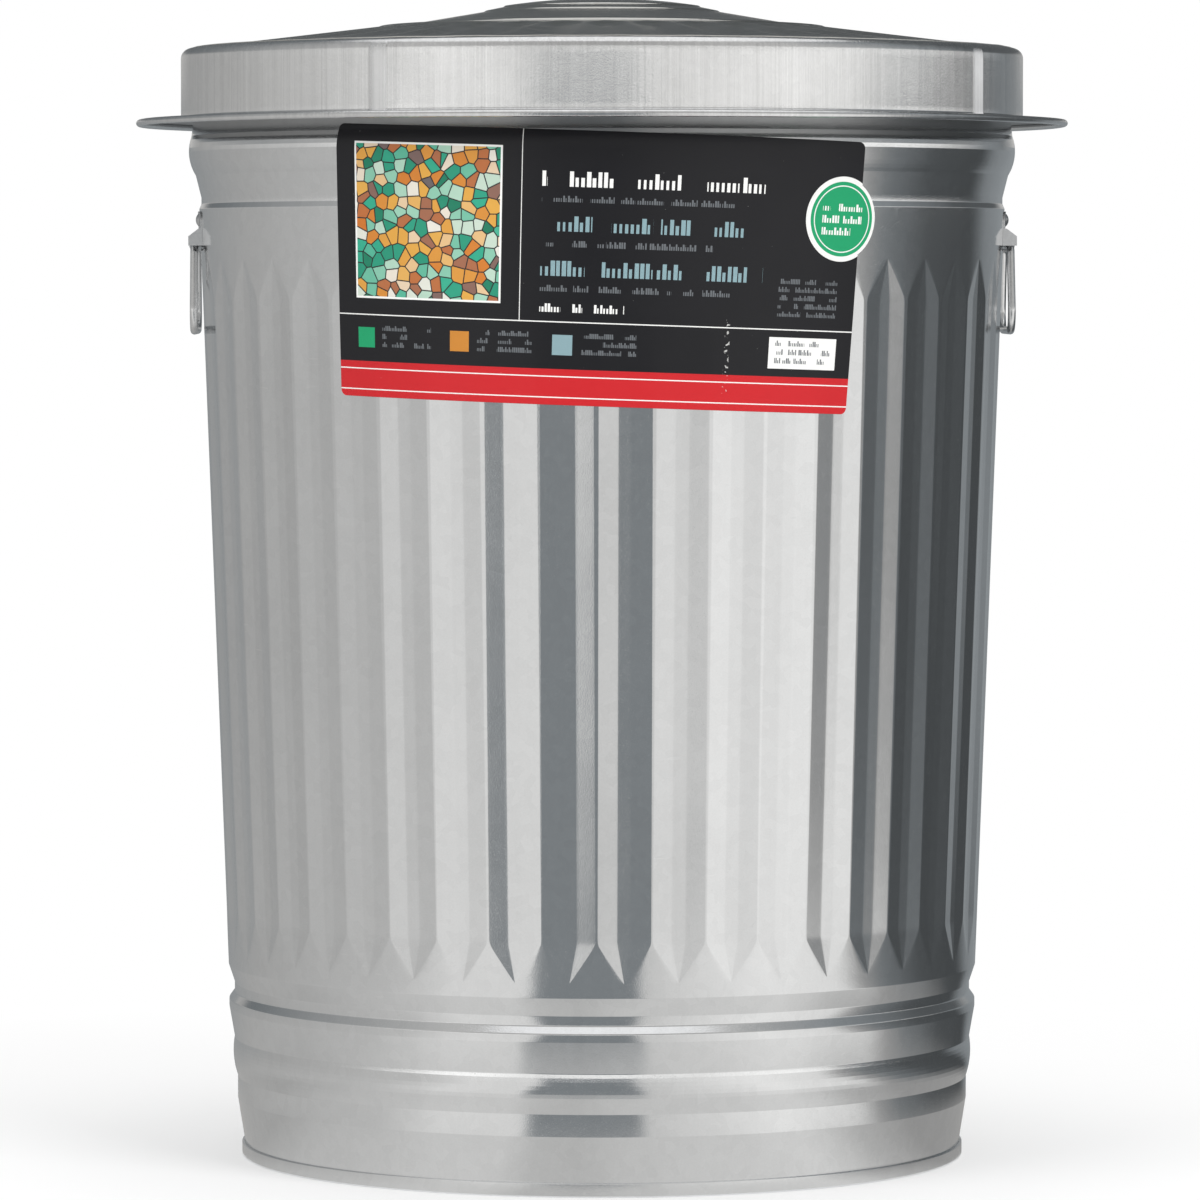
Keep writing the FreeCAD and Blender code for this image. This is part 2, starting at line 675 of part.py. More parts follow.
def rivet():
    """Rivet with a low domed head outside and a flat closing head inside, along +X."""
    head = SEAT_GAP + EAR_SHEET + SEAM_GAP
    head_radius = RIVET_RADIUS + RIVET_HEAD_LIP
    tail = -WALL_SHEET - 2 * SEAM_GAP
    tail_radius = RIVET_RADIUS + RIVET_TAIL_LIP
    solid = lathe((0, tail - RIVET_TAIL_HEIGHT), [
        (tail_radius, tail - RIVET_TAIL_HEIGHT),
        (tail_radius, tail),
        (RIVET_RADIUS, tail),
        (RIVET_RADIUS, head),
        (head_radius, head),
        dome((head_radius, head), RIVET_HEAD_HEIGHT),
    ])
    solid.rotate(CENTRE, FreeCAD.Vector(0, 1, 0), 90)
    return solid


def handle():
    """Bent wire ring on the +X side, hanging from its bar: narrow at the top, wide at the grip."""
    corners = [
        (HANDLE_TOP_WIDTH / 2, Z_PIVOT, HANDLE_TOP_BEND),
        (HANDLE_LOW_WIDTH / 2, Z_PIVOT - HANDLE_DROP, HANDLE_LOW_BEND),
        (-HANDLE_LOW_WIDTH / 2, Z_PIVOT - HANDLE_DROP, HANDLE_LOW_BEND),
        (-HANDLE_TOP_WIDTH / 2, Z_PIVOT, HANDLE_TOP_BEND),
    ]
    edges = []
    start = here = FreeCAD.Vector(PIVOT_RADIUS, 0, Z_PIVOT)
    for index, (y, z, bend) in enumerate(corners):
        corner = FreeCAD.Vector(PIVOT_RADIUS, y, z)
        last = FreeCAD.Vector(PIVOT_RADIUS, *corners[index - 1][:2])
        following = FreeCAD.Vector(PIVOT_RADIUS, *corners[(index + 1) % len(corners)][:2])
        arrive = (last - corner).normalize()
        leave = (following - corner).normalize()
        half = arrive.getAngle(leave) / 2
        reach = bend / math.tan(half)
        inward = (arrive + leave).normalize()
        via = corner + inward * (bend / math.sin(half) - bend)
        edges.append(Part.LineSegment(here, corner + arrive * reach).toShape())
        edges.append(Part.Arc(corner + arrive * reach, via, corner + leave * reach).toShape())
        here = corner + leave * reach
    edges.append(Part.LineSegment(here, start).toShape())
    path = Part.Wire(edges)
    ring = Part.Wire(Part.makeCircle(HANDLE_WIRE_RADIUS, start, FreeCAD.Vector(0, 1, 0)))
    return path.makePipeShell([ring], True, True)


def label():
    """Thin printed label: taut from the top bead down to the flutes, a little tilted, with a round lug."""
    crest = (NECK_RADIUS + TOP_BEAD_PROUD, (Z_SHOULDER + Z_NECK) / 2)
    arc = Part.Arc(vector(SHOULDER_RADIUS, Z_SHOULDER), vector(*crest), vector(NECK_RADIUS, Z_NECK))
    bead = arc.toShape().Curve
    upper = (crest[1] + Z_NECK) / 2
    rise = upper - bead.Center.z
    over = bead.Center.x + math.sqrt(bead.Radius ** 2 - rise ** 2)
    hang = LABEL_WIDTH / 2 * math.sin(math.radians(LABEL_TILT))
    low = Z_RIM - LABEL_DROP - LABEL_HEIGHT - hang
    run = [
        crest,
        ((over, upper), (NECK_RADIUS, Z_NECK)),
        (NECK_RADIUS, Z_BRIM),
    ]
    run = shifted(run, LABEL_GAP, 0)
    skin = sheet_ring((cone(low) + LABEL_GAP, low), run, LABEL_SHEET, 0, 180.0, 180.0)
    return skin.common(label_stamp())


def label_stamp():
    """Outline of the label seen from the front, pushed back through the can."""
    depth = 2 * NECK_RADIUS
    back = FreeCAD.Vector(0, depth, 0)
    corner = FreeCAD.Vector(-LABEL_WIDTH / 2, -depth, 0)
    sheet = Part.makeBox(LABEL_WIDTH, depth, LABEL_HEIGHT, corner)
    upright = [edge for edge in sheet.Edges if edge.BoundBox.YLength > depth / 2]
    sheet = sheet.makeFillet(LABEL_CORNER, upright)
    halves = (LUG_HALF_WIDTH, LUG_HALF_HEIGHT)
    lug = Part.Ellipse(CENTRE, max(halves), min(halves)).toShape()
    lug.rotate(CENTRE, AXIS, 90 if LUG_HALF_HEIGHT > LUG_HALF_WIDTH else 0)
    lug.rotate(CENTRE, FreeCAD.Vector(1, 0, 0), 90)
    lug.translate(FreeCAD.Vector(LABEL_WIDTH / 2 - LUG_INSET, -depth, LABEL_HEIGHT - LUG_DROP))
    sheet = sheet.fuse(Part.Face(Part.Wire(lug)).extrude(back))
    sheet.rotate(FreeCAD.Vector(0, 0, LABEL_HEIGHT / 2), FreeCAD.Vector(0, 1, 0), LABEL_TILT)
    sheet.translate(FreeCAD.Vector(0, 0, Z_RIM - LABEL_DROP - LABEL_HEIGHT))
    sheet.rotate(CENTRE, AXIS, LABEL_AZIMUTH)
    return sheet


def on_left(solid):
    """The same solid on the -X side."""
    copy = solid.copy()
    copy.rotate(CENTRE, AXIS, 180)
    return copy


def build():
    """All the pieces by node name."""
    pieces = {
        "can_wall": can_wall(),
        "can_rim_wire": wire_ring(RIM_WIRE_RADIUS, RIM_CENTRE, Z_RIM),
        "can_bottom": can_bottom(),
        "lid_crown": lid_crown(),
        "lid_skirt": lid_skirt(),
        "lid_brim_wire": wire_ring(BRIM_WIRE_RADIUS, *brim_centre()),
        "label": label(),
    }
    pieces["ear_right"] = ear()
    pieces["handle_right"] = handle()
    pieces["ear_rivets_right"] = Part.makeCompound(rivet_places(rivet(), 0.0))
    for name in ("ear", "handle", "ear_rivets"):
        pieces[name + "_left"] = on_left(pieces[name + "_right"])
    return pieces


os.makedirs("parts", exist_ok=True)
for node, shape in build().items():
    shape.exportStep("parts/" + node + ".step")
    print(node, "solids", len(shape.Solids), "valid", shape.isValid(), "volume", round(shape.Volume, 1))
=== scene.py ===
import logging
import math
from dataclasses import dataclass, field
from enum import Enum
from typing import Dict, List, Optional, Sequence, Tuple, Union

import bpy
import numpy as np
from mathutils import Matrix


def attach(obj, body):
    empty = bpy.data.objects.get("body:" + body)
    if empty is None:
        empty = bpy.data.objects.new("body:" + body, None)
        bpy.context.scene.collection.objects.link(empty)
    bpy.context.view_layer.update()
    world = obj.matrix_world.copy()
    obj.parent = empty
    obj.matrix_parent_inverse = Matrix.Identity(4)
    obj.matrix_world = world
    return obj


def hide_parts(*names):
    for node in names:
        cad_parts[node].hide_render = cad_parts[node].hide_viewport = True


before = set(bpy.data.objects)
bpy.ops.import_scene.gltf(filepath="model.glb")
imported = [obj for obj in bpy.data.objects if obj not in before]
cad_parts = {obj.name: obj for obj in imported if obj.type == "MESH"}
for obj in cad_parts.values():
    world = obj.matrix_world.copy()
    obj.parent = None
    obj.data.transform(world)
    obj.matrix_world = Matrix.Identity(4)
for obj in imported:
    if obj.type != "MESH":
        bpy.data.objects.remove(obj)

Point = Tuple[float, float]
Run = List[Point]
Colour = Tuple[float, float, float]
Socket = bpy.types.NodeSocket
Tree = bpy.types.NodeTree
Material = bpy.types.Material
Piece = bpy.types.Object
Value = Union[float, Sequence[float], Socket]

log = logging.getLogger("trash_can")
MM = 0.001
TURN = 2 * math.pi
WHITE = (1.0, 1.0, 1.0, 1.0)


class Body(Enum):
    """The bodies that new pieces ride on."""

    CAN = "can"
    LID = "lid"


class Side(Enum):
    """The two sides that carry an ear and a handle."""

    LEFT = "left"
    RIGHT = "right"


class Streak(Enum):
    """Which way the rolling marks of a sheet run."""

    UPRIGHT = "upright"
    ROUND = "round"
    RINGS = "rings"
    NONE = "none"


# Side sections


def arc_run(first: Point, via: Point, last: Point, steps: int) -> Run:
    """Points of the arc through three points.

    Args:
        first: Start of the arc, as radius and height.
        via: A point on the arc.
        last: End of the arc.
        steps: Number of straight pieces.

    Returns:
        The points from first to last.
    """
    (ax, ay), (bx, by), (cx, cy) = first, via, last
    d = 2 * (ax * (by - cy) + bx * (cy - ay) + cx * (ay - by))
    a2, b2, c2 = ax * ax + ay * ay, bx * bx + by * by, cx * cx + cy * cy
    ux = (a2 * (by - cy) + b2 * (cy - ay) + c2 * (ay - by)) / d
    uy = (a2 * (cx - bx) + b2 * (ax - cx) + c2 * (bx - ax)) / d
    radius = math.hypot(ax - ux, ay - uy)
    start, middle, end = (math.atan2(y - uy, x - ux) for x, y in (first, via, last))
    turn = (end - start) % TURN
    if (middle - start) % TURN > turn:
        turn -= TURN
    angles = [start + turn * i / steps for i in range(steps + 1)]
    return [(ux + radius * math.cos(t), uy + radius * math.sin(t)) for t in angles]


def round_corners(points: Run, radius: float, steps: int = 4) -> Run:
    """A run of straight pieces with its corners rounded.

    Args:
        points: Corners of the run.
        radius: Radius of the bends, less where the pieces are short.
        steps: Number of straight pieces in each bend.

    Returns:
        The points of the rounded run.
    """
    result = [points[0]]
    for before, here, after in zip(points, points[1:], points[2:]):
        a = np.subtract(before, here)
        b = np.subtract(after, here)
        la, lb = float(np.hypot(*a)), float(np.hypot(*b))
        a, b = a / la, b / lb
        half = math.acos(float(np.clip(a @ b, -1, 1))) / 2
        if half > math.radians(88.5):
            result.append(here)
            continue
        reach = min(radius / math.tan(half), 0.45 * la, 0.45 * lb)
        start, end = np.add(here, a * reach), np.add(here, b * reach)
        for i in range(steps + 1):
            t = i / steps
            p = (1 - t) ** 2 * start + 2 * t * (1 - t) * np.array(here) + t * t * end
            result.append((float(p[0]), float(p[1])))
    result.append(points[-1])
    return result


def split_long(points: Run, longest: float) -> Run:
    """The same run with its long pieces divided.

    Args:
        points: Points of the run, as radius and height.
        longest: Longest piece wanted.

    Returns:
        The divided run.
    """
    result = [points[0]]
    for start, end in zip(points, points[1:]):
        count = max(1, math.ceil(math.hypot(end[0] - start[0], end[1] - start[1]) / longest))
        for i in range(1, count + 1):
            t = i / count
            result.append((start[0] + (end[0] - start[0]) * t, start[1] + (end[1] - start[1]) * t))
    return result


def circle_run(centre: Point, radius: float, steps: int = 20) -> Run:
    """Closed run round a circle, with its first point repeated at the end."""
    turns = [TURN * i / steps for i in range(steps + 1)]
    return [(centre[0] + radius * math.cos(t), centre[1] + radius * math.sin(t)) for t in turns]


def soft_step(value: np.ndarray, width: Union[float, np.ndarray]) -> np.ndarray:
    """Zero below zero and the value itself above, with a rounded corner of a width between."""
    blended = (value + width) ** 2 / (4 * width)
    return np.where(value < -width, 0.0, np.where(value > width, value, blended))


def waves(angles: np.ndarray, seed: int, terms: Sequence[int]) -> np.ndarray:
    """Slow unevenness round a ring, between about -1 and 1.

    Args:
        angles: Angles round the ring, in radians.
        seed: Seed of the phases.
        terms: Numbers of waves in a turn.

    Returns:
        One value for each angle.
    """
    rng = np.random.default_rng(seed)
    total = np.zeros_like(angles)
    for count in terms:
        total += np.sin(count * angles + rng.uniform(0, TURN)) * rng.uniform(0.5, 1.0)
    return total / max(1.0, 0.75 * len(terms))


def as_columns(run: Run) -> Tuple[np.ndarray, np.ndarray]:
    """Radii and heights of a run, each as one column."""
    points = np.array(run)
    return points[:, :1], points[:, 1:]


def ring_points(angles: np.ndarray, radius: np.ndarray, height: np.ndarray) -> np.ndarray:
    """Grid of points in metres from radii and heights in millimetres.

    Args:
        angles: Angles of the columns, from +X.
        radius: Radius of each row, or of each row and column.
        height: Height of each row, or of each row and column.

    Returns:
        Array of rows, columns and three coordinates.
    """
    full = radius + 0 * angles
    return np.stack([full * np.cos(angles), full * np.sin(angles), height + 0 * full], axis=-1) * MM


class SheetMesh:
    """Collects grids of points and turns them into one mesh object."""

    def __init__(self) -> None:
        """Starts with no points."""
        self.points: List[np.ndarray] = []
        self.quads: List[np.ndarray] = []
        self.layout: List[np.ndarray] = []
        self.count = 0

    def grid(self, points: np.ndarray, closed: bool, flip: bool = False,
             layout: Optional[np.ndarray] = None) -> None:
        """Adds a grid of points.

        Args:
            points: Array of rows, columns and three coordinates, in metres.
            closed: Whether the last column joins the first.
            flip: Whether the faces look the other way.
            layout: Flat coordinates of each point, for print, for wear and for painted shade.
        """
        rows, cols = points.shape[:2]
        r, c = np.meshgrid(np.arange(rows - 1), np.arange(cols if closed else cols - 1), indexing="ij")
        a = r * cols + c
        b = r * cols + (c + 1) % cols
        quads = np.stack([a, b, b + cols, a + cols], axis=-1).reshape(-1, 4)
        self.quads.append((quads[:, ::-1] if flip else quads) + self.count)
        self.points.append(points.reshape(-1, 3))
        self.layout.append(np.zeros((rows * cols, 2)) if layout is None else layout.reshape(-1, 2))
        self.count += rows * cols

    def lathe(self, run: Run, columns: int, flip: bool = False) -> None:
        """Adds a run of section points turned right round the axis.

        Args:
            run: Points as radius and height, in millimetres.
            columns: Number of places round the turn.
            flip: Whether the faces look the other way.
        """
        angles = np.linspace(0, TURN, columns, endpoint=False)
        self.grid(ring_points(angles, *as_columns(run)), True, flip)

    def make(self, name: str) -> Piece:
        """Makes the object, with smooth shading and its flat layout as a UV map.

        Args:
            name: Name of the object.

        Returns:
            The new object, linked to the scene.
        """
        mesh = bpy.data.meshes.new(name)
        points = np.concatenate(self.points)
        quads = np.concatenate(self.quads)
        mesh.vertices.add(len(points))
        mesh.vertices.foreach_set("co", points.astype(np.float32).ravel())
        mesh.loops.add(quads.size)
        mesh.loops.foreach_set("vertex_index", quads.astype(np.int32).ravel())
        mesh.polygons.add(len(quads))
        mesh.polygons.foreach_set("loop_start", np.arange(0, quads.size, 4, dtype=np.int32))
        mesh.polygons.foreach_set("use_smooth", np.ones(len(quads), dtype=bool))
        layout = np.concatenate(self.layout)
        uv = mesh.uv_layers.new(name="layout")
        uv.data.foreach_set("uv", layout[quads.ravel()].astype(np.float32).ravel())
        mesh.update(calc_edges=True)
        mesh.validate()
        piece = bpy.data.objects.new(name, mesh)
        bpy.context.scene.collection.objects.link(piece)
        return piece


@dataclass(frozen=True)
class Pressing:
    """One ring of pressed flutes: flat floors, flat flanks and pointed ends."""

    count: int
    depth: float
    mouth: float
    floor: float
    low_tip: float
    low_full: float
    high_full: float
    high_tip: float
    bend: float = 0.5
    curve: float = 1.0
    skip: int = -1

    def fullness(self, along: np.ndarray) -> np.ndarray:
        """Share of the full section along the flutes: none at the tips, all between."""
        rise = np.minimum(
            (along - self.low_tip) / (self.low_full - self.low_tip),
            (self.high_tip - along) / (self.high_tip - self.high_full),
        )
        return np.maximum(rise - soft_step(rise - 1.0, 0.10), 0.0)

    def depth_at(self, angles: np.ndarray, along: np.ndarray, radius: np.ndarray) -> np.ndarray:
        """How far the sheet is pressed in.

        Args:
            angles: Angles from +X.
            along: Distance along the flutes.
            radius: Radius at each place.

        Returns:
            Depth at each place, in millimetres.
        """
        pitch = TURN / self.count
        number = np.round(angles / pitch)
        side = np.abs(angles - number * pitch) * radius
        full = self.fullness(along)
        edge = self.curve * self.mouth ** 2 / (2 * radius)
        slope = (self.depth - edge) / (self.mouth - self.floor)
        sagitta = self.curve * side ** 2 / (2 * radius)
        flank = soft_step(side - full * self.floor, self.bend * np.maximum(full, 0.05)) * slope
        pressed = soft_step(full * self.depth - sagitta - flank, 0.02)
        return np.where((full > 0) & (number % self.count != self.skip), pressed, 0.0)

    def columns(self, along: np.ndarray, radius: np.ndarray) -> np.ndarray:
        """Angles of columns that follow the edges of the facets.

        Args:
            along: Distance along the flutes, one for each row.
            radius: Radius of each row.

        Returns:
            Angles of rows and columns.
        """
        pitch = TURN / self.count
        f, m = self.floor, self.mouth
        inside = np.array([0.0, 0.5 * f, f - 0.5, f, f + 0.5, f + 2.2, 0.5 * (f + m), m - 2.4,
                           m - 0.5, m])
        full = np.maximum(self.fullness(along), 0.03)[:, None]
        half = pitch / 2 * radius[:, None]
        edge = np.minimum(full * m + 0.35, half - 0.4)
        plain = edge + np.array([0.0, 0.25, 0.5, 0.75]) * (half - edge)
        right = np.concatenate([full * inside, plain], axis=1)
        one = np.concatenate([-half, -right[:, :0:-1], right], axis=1) / radius[:, None]
        return np.concatenate([one + i * pitch for i in range(self.count)], axis=1)


# Node helpers


class Nodes:
    """Short way to place and join shader nodes in one tree."""

    def __init__(self, tree: Tree) -> None:
        """Keeps the tree of a material, a world or a group."""
        self.tree = tree

    def add(self, kind: str, inputs: Optional[Dict] = None, **settings) -> bpy.types.Node:
        """Places a node.

        Args:
            kind: Node type, without its ShaderNode prefix.
            inputs: Values or sockets for the node's inputs, by name or number.
            settings: Properties of the node.

        Returns:
            The new node.
        """
        node = self.tree.nodes.new("ShaderNode" + kind)
        for key, value in settings.items():
            setattr(node, key, value)
        for key, value in (inputs or {}).items():
            self.feed(node.inputs[key], value)
        return node

    def feed(self, socket: Socket, value: Value) -> None:
        """Joins a socket to an input, or sets the input's value."""
        if isinstance(value, Socket):
            self.tree.links.new(value, socket)
        else:
            socket.default_value = value

    def math(self, operation: str, a: Value, b: Value = 0.0, clamp: bool = False) -> Socket:
        """Result of a sum on two values or sockets."""
        return self.add("Math", {0: a, 1: b}, operation=operation, use_clamp=clamp).outputs[0]

    def plus(self, base: Value, value: Value, share: Value) -> Socket:
        """A base with a share of a value added to it."""
        return self.add("Math", {0: value, 1: share, 2: base}, operation="MULTIPLY_ADD").outputs[0]

    def swing(self, value: Socket, amount: float) -> Socket:
        """A value about one half as a swing about nothing."""
        return self.math("MULTIPLY", self.math("SUBTRACT", value, 0.5), amount)

    def spread(self, value: Socket, low: float, high: float, first: float = 0.0) -> Socket:
        """A stretch of a value spread from a first share to one."""
        return self.add("MapRange", {0: value, 1: low, 2: high, 3: first, 4: 1.0}).outputs[0]

    def split(self, vector: Socket) -> Sequence[Socket]:
        """The three parts of a vector."""
        return self.add("SeparateXYZ", {0: vector}).outputs

    def length(self, vector: Socket) -> Socket:
        """Length of a vector."""
        return self.add("VectorMath", {0: vector}, operation="LENGTH").outputs["Value"]

    def place(self) -> Socket:
        """Coordinates on the object, in metres."""
        return self.add("TexCoord").outputs["Object"]

    def layout(self) -> Socket:
        """Flat coordinates of the mesh."""
        return self.add("UVMap", uv_map="layout").outputs[0]

    def noise(self, vector: Socket, scale: Value, detail: float, roughness: float = 0.5) -> Socket:
        """Cloudy value between nothing and one."""
        settings = {"Vector": vector, "Scale": scale, "Detail": detail, "Roughness": roughness}
        return self.add("TexNoise", settings).outputs[0]

    def mix(self, share: Value, a: Value, b: Value, blend: str = "MIX") -> Socket:
        """Colour mixed from two colours by a share."""
        node = self.add("Mix", data_type="RGBA", blend_type=blend)
        for number, value in ((0, share), (6, a), (7, b)):
            self.feed(node.inputs[number], value)
        return node.outputs[2]

    def group(self, tree: Tree, **inputs) -> Sequence[Socket]:
        """Places a node group.

        Args:
            tree: The group.
            inputs: Values or sockets for its inputs, with underscores for spaces.

        Returns:
            The outputs of the group.
        """
        node = self.tree.nodes.new("ShaderNodeGroup")
        node.node_tree = tree
        for key, value in inputs.items():
            self.feed(node.inputs[key.replace("_", " ")], value)
        return node.outputs

    def ramp(self, value: Socket, stops: Sequence[Tuple[float, Colour]]) -> Socket:
        """Colour from a ramp of stops."""
        node = self.add("ValToRGB", {0: value})
        ramp = node.color_ramp
        while len(ramp.elements) < len(stops):
            ramp.elements.new(0.5)
        for element, (place, colour) in zip(ramp.elements, stops):
            element.position = place
            element.color = (*colour, 1.0)
        return node.outputs[0]

    def coat(self, shader: bpy.types.Node, base: Socket, rough: Socket, normal: Socket) -> None:
        """Joins a colour, a roughness and a normal to a shader."""
        for name, value in (("Base Color", base), ("Roughness", rough), ("Normal", normal)):
            self.feed(shader.inputs[name], value)

    def seen(self) -> Socket:
        """One where the camera, a reflection or glass sees the surface."""
        path = self.add("LightPath").outputs
        seen = self.math("MAXIMUM", path["Is Camera Ray"], path["Is Glossy Ray"])
        return self.math("MAXIMUM", seen, path["Is Transmission Ray"])


def new_group(name: str, values: Dict[str, float], outputs: Sequence[str],
              kind: str = "Float") -> Tuple[Nodes, Sequence[Socket], Sequence[Socket]]:
    """Makes an empty node group whose first input is a vector.

    Args:
        name: Name of the group.
        values: Name and value of each further input.
        outputs: Name of each output.
        kind: Kind of the outputs.

    Returns:
        The group's nodes helper, the sockets of its inputs and those of its outputs.
    """
    tree = bpy.data.node_groups.new(name, "ShaderNodeTree")
    tree.interface.new_socket(name="Vector", in_out="INPUT", socket_type="NodeSocketVector")
    for label, value in values.items():
        socket = tree.interface.new_socket(name=label, in_out="INPUT", socket_type="NodeSocketFloat")
        socket.default_value = value
    for label in outputs:
        tree.interface.new_socket(name=label, in_out="OUTPUT", socket_type="NodeSocket" + kind)
    start, end = tree.nodes.new("NodeGroupInput"), tree.nodes.new("NodeGroupOutput")
    return Nodes(tree), start.outputs, end.inputs


def new_material(name: str) -> Tuple[Material, Nodes, bpy.types.Node]:
    """Makes a material.

    Args:
        name: Name of the material.

    Returns:
        The material, its nodes helper and its shader.
    """
    material = bpy.data.materials.new(name)
    material.use_nodes = True
    return material, Nodes(material.node_tree), material.node_tree.nodes["Principled BSDF"]


class Effects:
    """Node groups that several finishes share."""

    def __init__(self) -> None:
        """Builds the groups."""
        self.spangle = self.make_spangle()
        self.streaks = self.make_streaks()
        self.scuffs = self.make_scuffs()
        self.block = self.make_block()
        self.disc = self.make_disc()
        self.rows = self.make_rows()
        self.mosaic = self.make_mosaic()

    def make_spangle(self) -> Tree:
        """Crystal patches, fine grain and stray specks of a zinc coat.

        Returns:
            Group with Tone, Grain, Height and Speck.
        """
        nodes, start, end = new_group("zinc_spangle", {"Crystal Size": 0.006, "Grain Size": 0.0012},
                                      ("Tone", "Grain", "Height", "Speck"))
        place, cells = start["Vector"], []
        for size in ("Crystal Size", "Grain Size"):
            scale = nodes.math("DIVIDE", 1.0, start[size])
            node = nodes.add("TexVoronoi", {"Vector": place, "Scale": scale, "Randomness": 1.0})
            cells.append(nodes.add("SeparateColor", {0: node.outputs["Color"]}).outputs)
        patch, speck = cells
        fine = nodes.noise(place, scale, 2.0, 0.6)
        nodes.feed(end["Tone"], nodes.plus(nodes.math("MULTIPLY", speck[0], 0.4), patch[0], 0.6))
        nodes.feed(end["Grain"], fine)
        nodes.feed(end["Height"], nodes.plus(fine, patch[1], 0.35))
        nodes.feed(end["Speck"], nodes.spread(speck[1], 0.955, 0.99))
        return nodes.tree

    def make_streaks(self) -> Tree:
        """Thin rolling marks drawn out along one direction.

        Returns:
            Group with Tone and Height.
        """
        nodes, start, end = new_group(
            "rolling_streaks", {"Across": 420.0, "Along": 6.0, "Upright": 1.0}, ("Tone", "Height"))
        axes = nodes.split(start["Vector"])
        across, along, upright = start["Across"], start["Along"], start["Upright"]
        level = nodes.math("SUBTRACT", 1.0, upright)
        flat = nodes.plus(nodes.math("MULTIPLY", along, level), across, upright)
        tall = nodes.plus(nodes.math("MULTIPLY", across, level), along, upright)
        drawn = [nodes.math("MULTIPLY", axis, scale) for axis, scale in zip(axes, (flat, flat, tall))]
        place = nodes.add("CombineXYZ", dict(enumerate(drawn))).outputs[0]
        thin = nodes.noise(place, 1.0, 3.0, 0.7)
        wide = nodes.noise(place, 0.22, 2.0)
        nodes.feed(end["Tone"], nodes.plus(nodes.math("MULTIPLY", wide, 0.4), thin, 0.6))
        nodes.feed(end["Height"], thin)
        return nodes.tree

    def make_scuffs(self) -> Tree:
        """Cloudy handling marks and a few small scratches.

        Returns:
            Group with Smudge and Scratch masks.
        """
        nodes, start, end = new_group("handling_marks", {"Scale": 9.0}, ("Smudge", "Scratch"))
        smudge = nodes.spread(nodes.noise(start["Vector"], start["Scale"], 4.0, 0.55), 0.42, 0.7)
        stretched = nodes.add("Mapping", {"Vector": start["Vector"], "Scale": (60.0, 60.0, 700.0),
                                          "Rotation": (0.5, 0.35, 0.2)})
        thin = nodes.spread(nodes.noise(stretched.outputs[0], 1.0, 1.0), 0.735, 0.76)
        nodes.feed(end["Smudge"], smudge)
        nodes.feed(end["Scratch"], nodes.math("MULTIPLY", thin, smudge))
        return nodes.tree

    def make_block(self) -> Tree:
        """Mask of an upright box in the flat layout of a print.

        Returns:
            Group with Mask.
        """
        nodes, start, end = new_group(
            "ink_block", {"Left": 0.0, "Right": 1.0, "Low": 0.0, "High": 1.0, "Edge": 0.15}, ("Mask",))
        x, y, _ = nodes.split(start["Vector"])
        mask = 1.0
        spans = ((x, start["Left"]), (start["Right"], x), (y, start["Low"]), (start["High"], y))
        for more, less in spans:
            inside = nodes.math("DIVIDE", nodes.math("SUBTRACT", more, less), start["Edge"], clamp=True)
            mask = nodes.math("MULTIPLY", mask, inside)
        nodes.feed(end["Mask"], mask)
        return nodes.tree

    def make_disc(self) -> Tree:
        """Mask of a disc or a ring in the flat layout of a print.

        Returns:
            Group with Mask.
        """
        nodes, start, end = new_group(
            "ink_disc", {"X": 0.0, "Y": 0.0, "Inner": 0.0, "Outer": 1.0, "Edge": 0.15}, ("Mask",))
        x, y, _ = nodes.split(start["Vector"])
        dx, dy = nodes.math("SUBTRACT", x, start["X"]), nodes.math("SUBTRACT", y, start["Y"])
        away = nodes.math("SQRT", nodes.plus(nodes.math("MULTIPLY", dx, dx), dy, dy))
        sides = [nodes.math("DIVIDE", nodes.math("SUBTRACT", more, less), start["Edge"], clamp=True)
                 for more, less in ((start["Outer"], away), (away, start["Inner"]))]
        nodes.feed(end["Mask"], nodes.math("MULTIPLY", *sides))
        return nodes.tree

    def make_rows(self) -> Tree:
        """Mask of rows of short plain strokes in the flat layout of a print.

        Returns:
            Group with Mask.
        """
        nodes, start, end = new_group(
            "ink_rows", {"Low": 0.0, "Pitch": 6.0, "Stroke": 2.0, "Run": 14.0}, ("Mask",))
        x, y, _ = nodes.split(start["Vector"])
        rise = nodes.math("DIVIDE", nodes.math("SUBTRACT", y, start["Low"]), start["Pitch"])
        row = nodes.math("MULTIPLY", nodes.math("FLOOR", rise), 5.37)
        step = nodes.math("DIVIDE", x, start["Stroke"])
        number = nodes.add("CombineXYZ", {0: nodes.math("FLOOR", step), 1: row, 2: start["Low"]})
        dice = nodes.add("TexWhiteNoise", {"Vector": number.outputs[0]}, noise_dimensions="3D")
        chance = dice.outputs["Value"]
        tall = nodes.plus(0.625, nodes.math("LESS_THAN", chance, 0.6), -0.25)
        on_row = nodes.math("LESS_THAN", nodes.math("FRACT", rise), tall)
        on_stroke = nodes.math("LESS_THAN", nodes.math("FRACT", step), nodes.plus(0.42, chance, 0.4))
        along = nodes.math("DIVIDE", x, start["Run"])
        place = nodes.add("CombineXYZ", {0: along, 1: row, 2: start["Low"]})
        on_run = nodes.math("GREATER_THAN", nodes.noise(place.outputs[0], 1.6, 0.0), 0.43)
        both = nodes.math("MULTIPLY", on_row, on_stroke)
        nodes.feed(end["Mask"], nodes.math("MULTIPLY", both, on_run))
        return nodes.tree

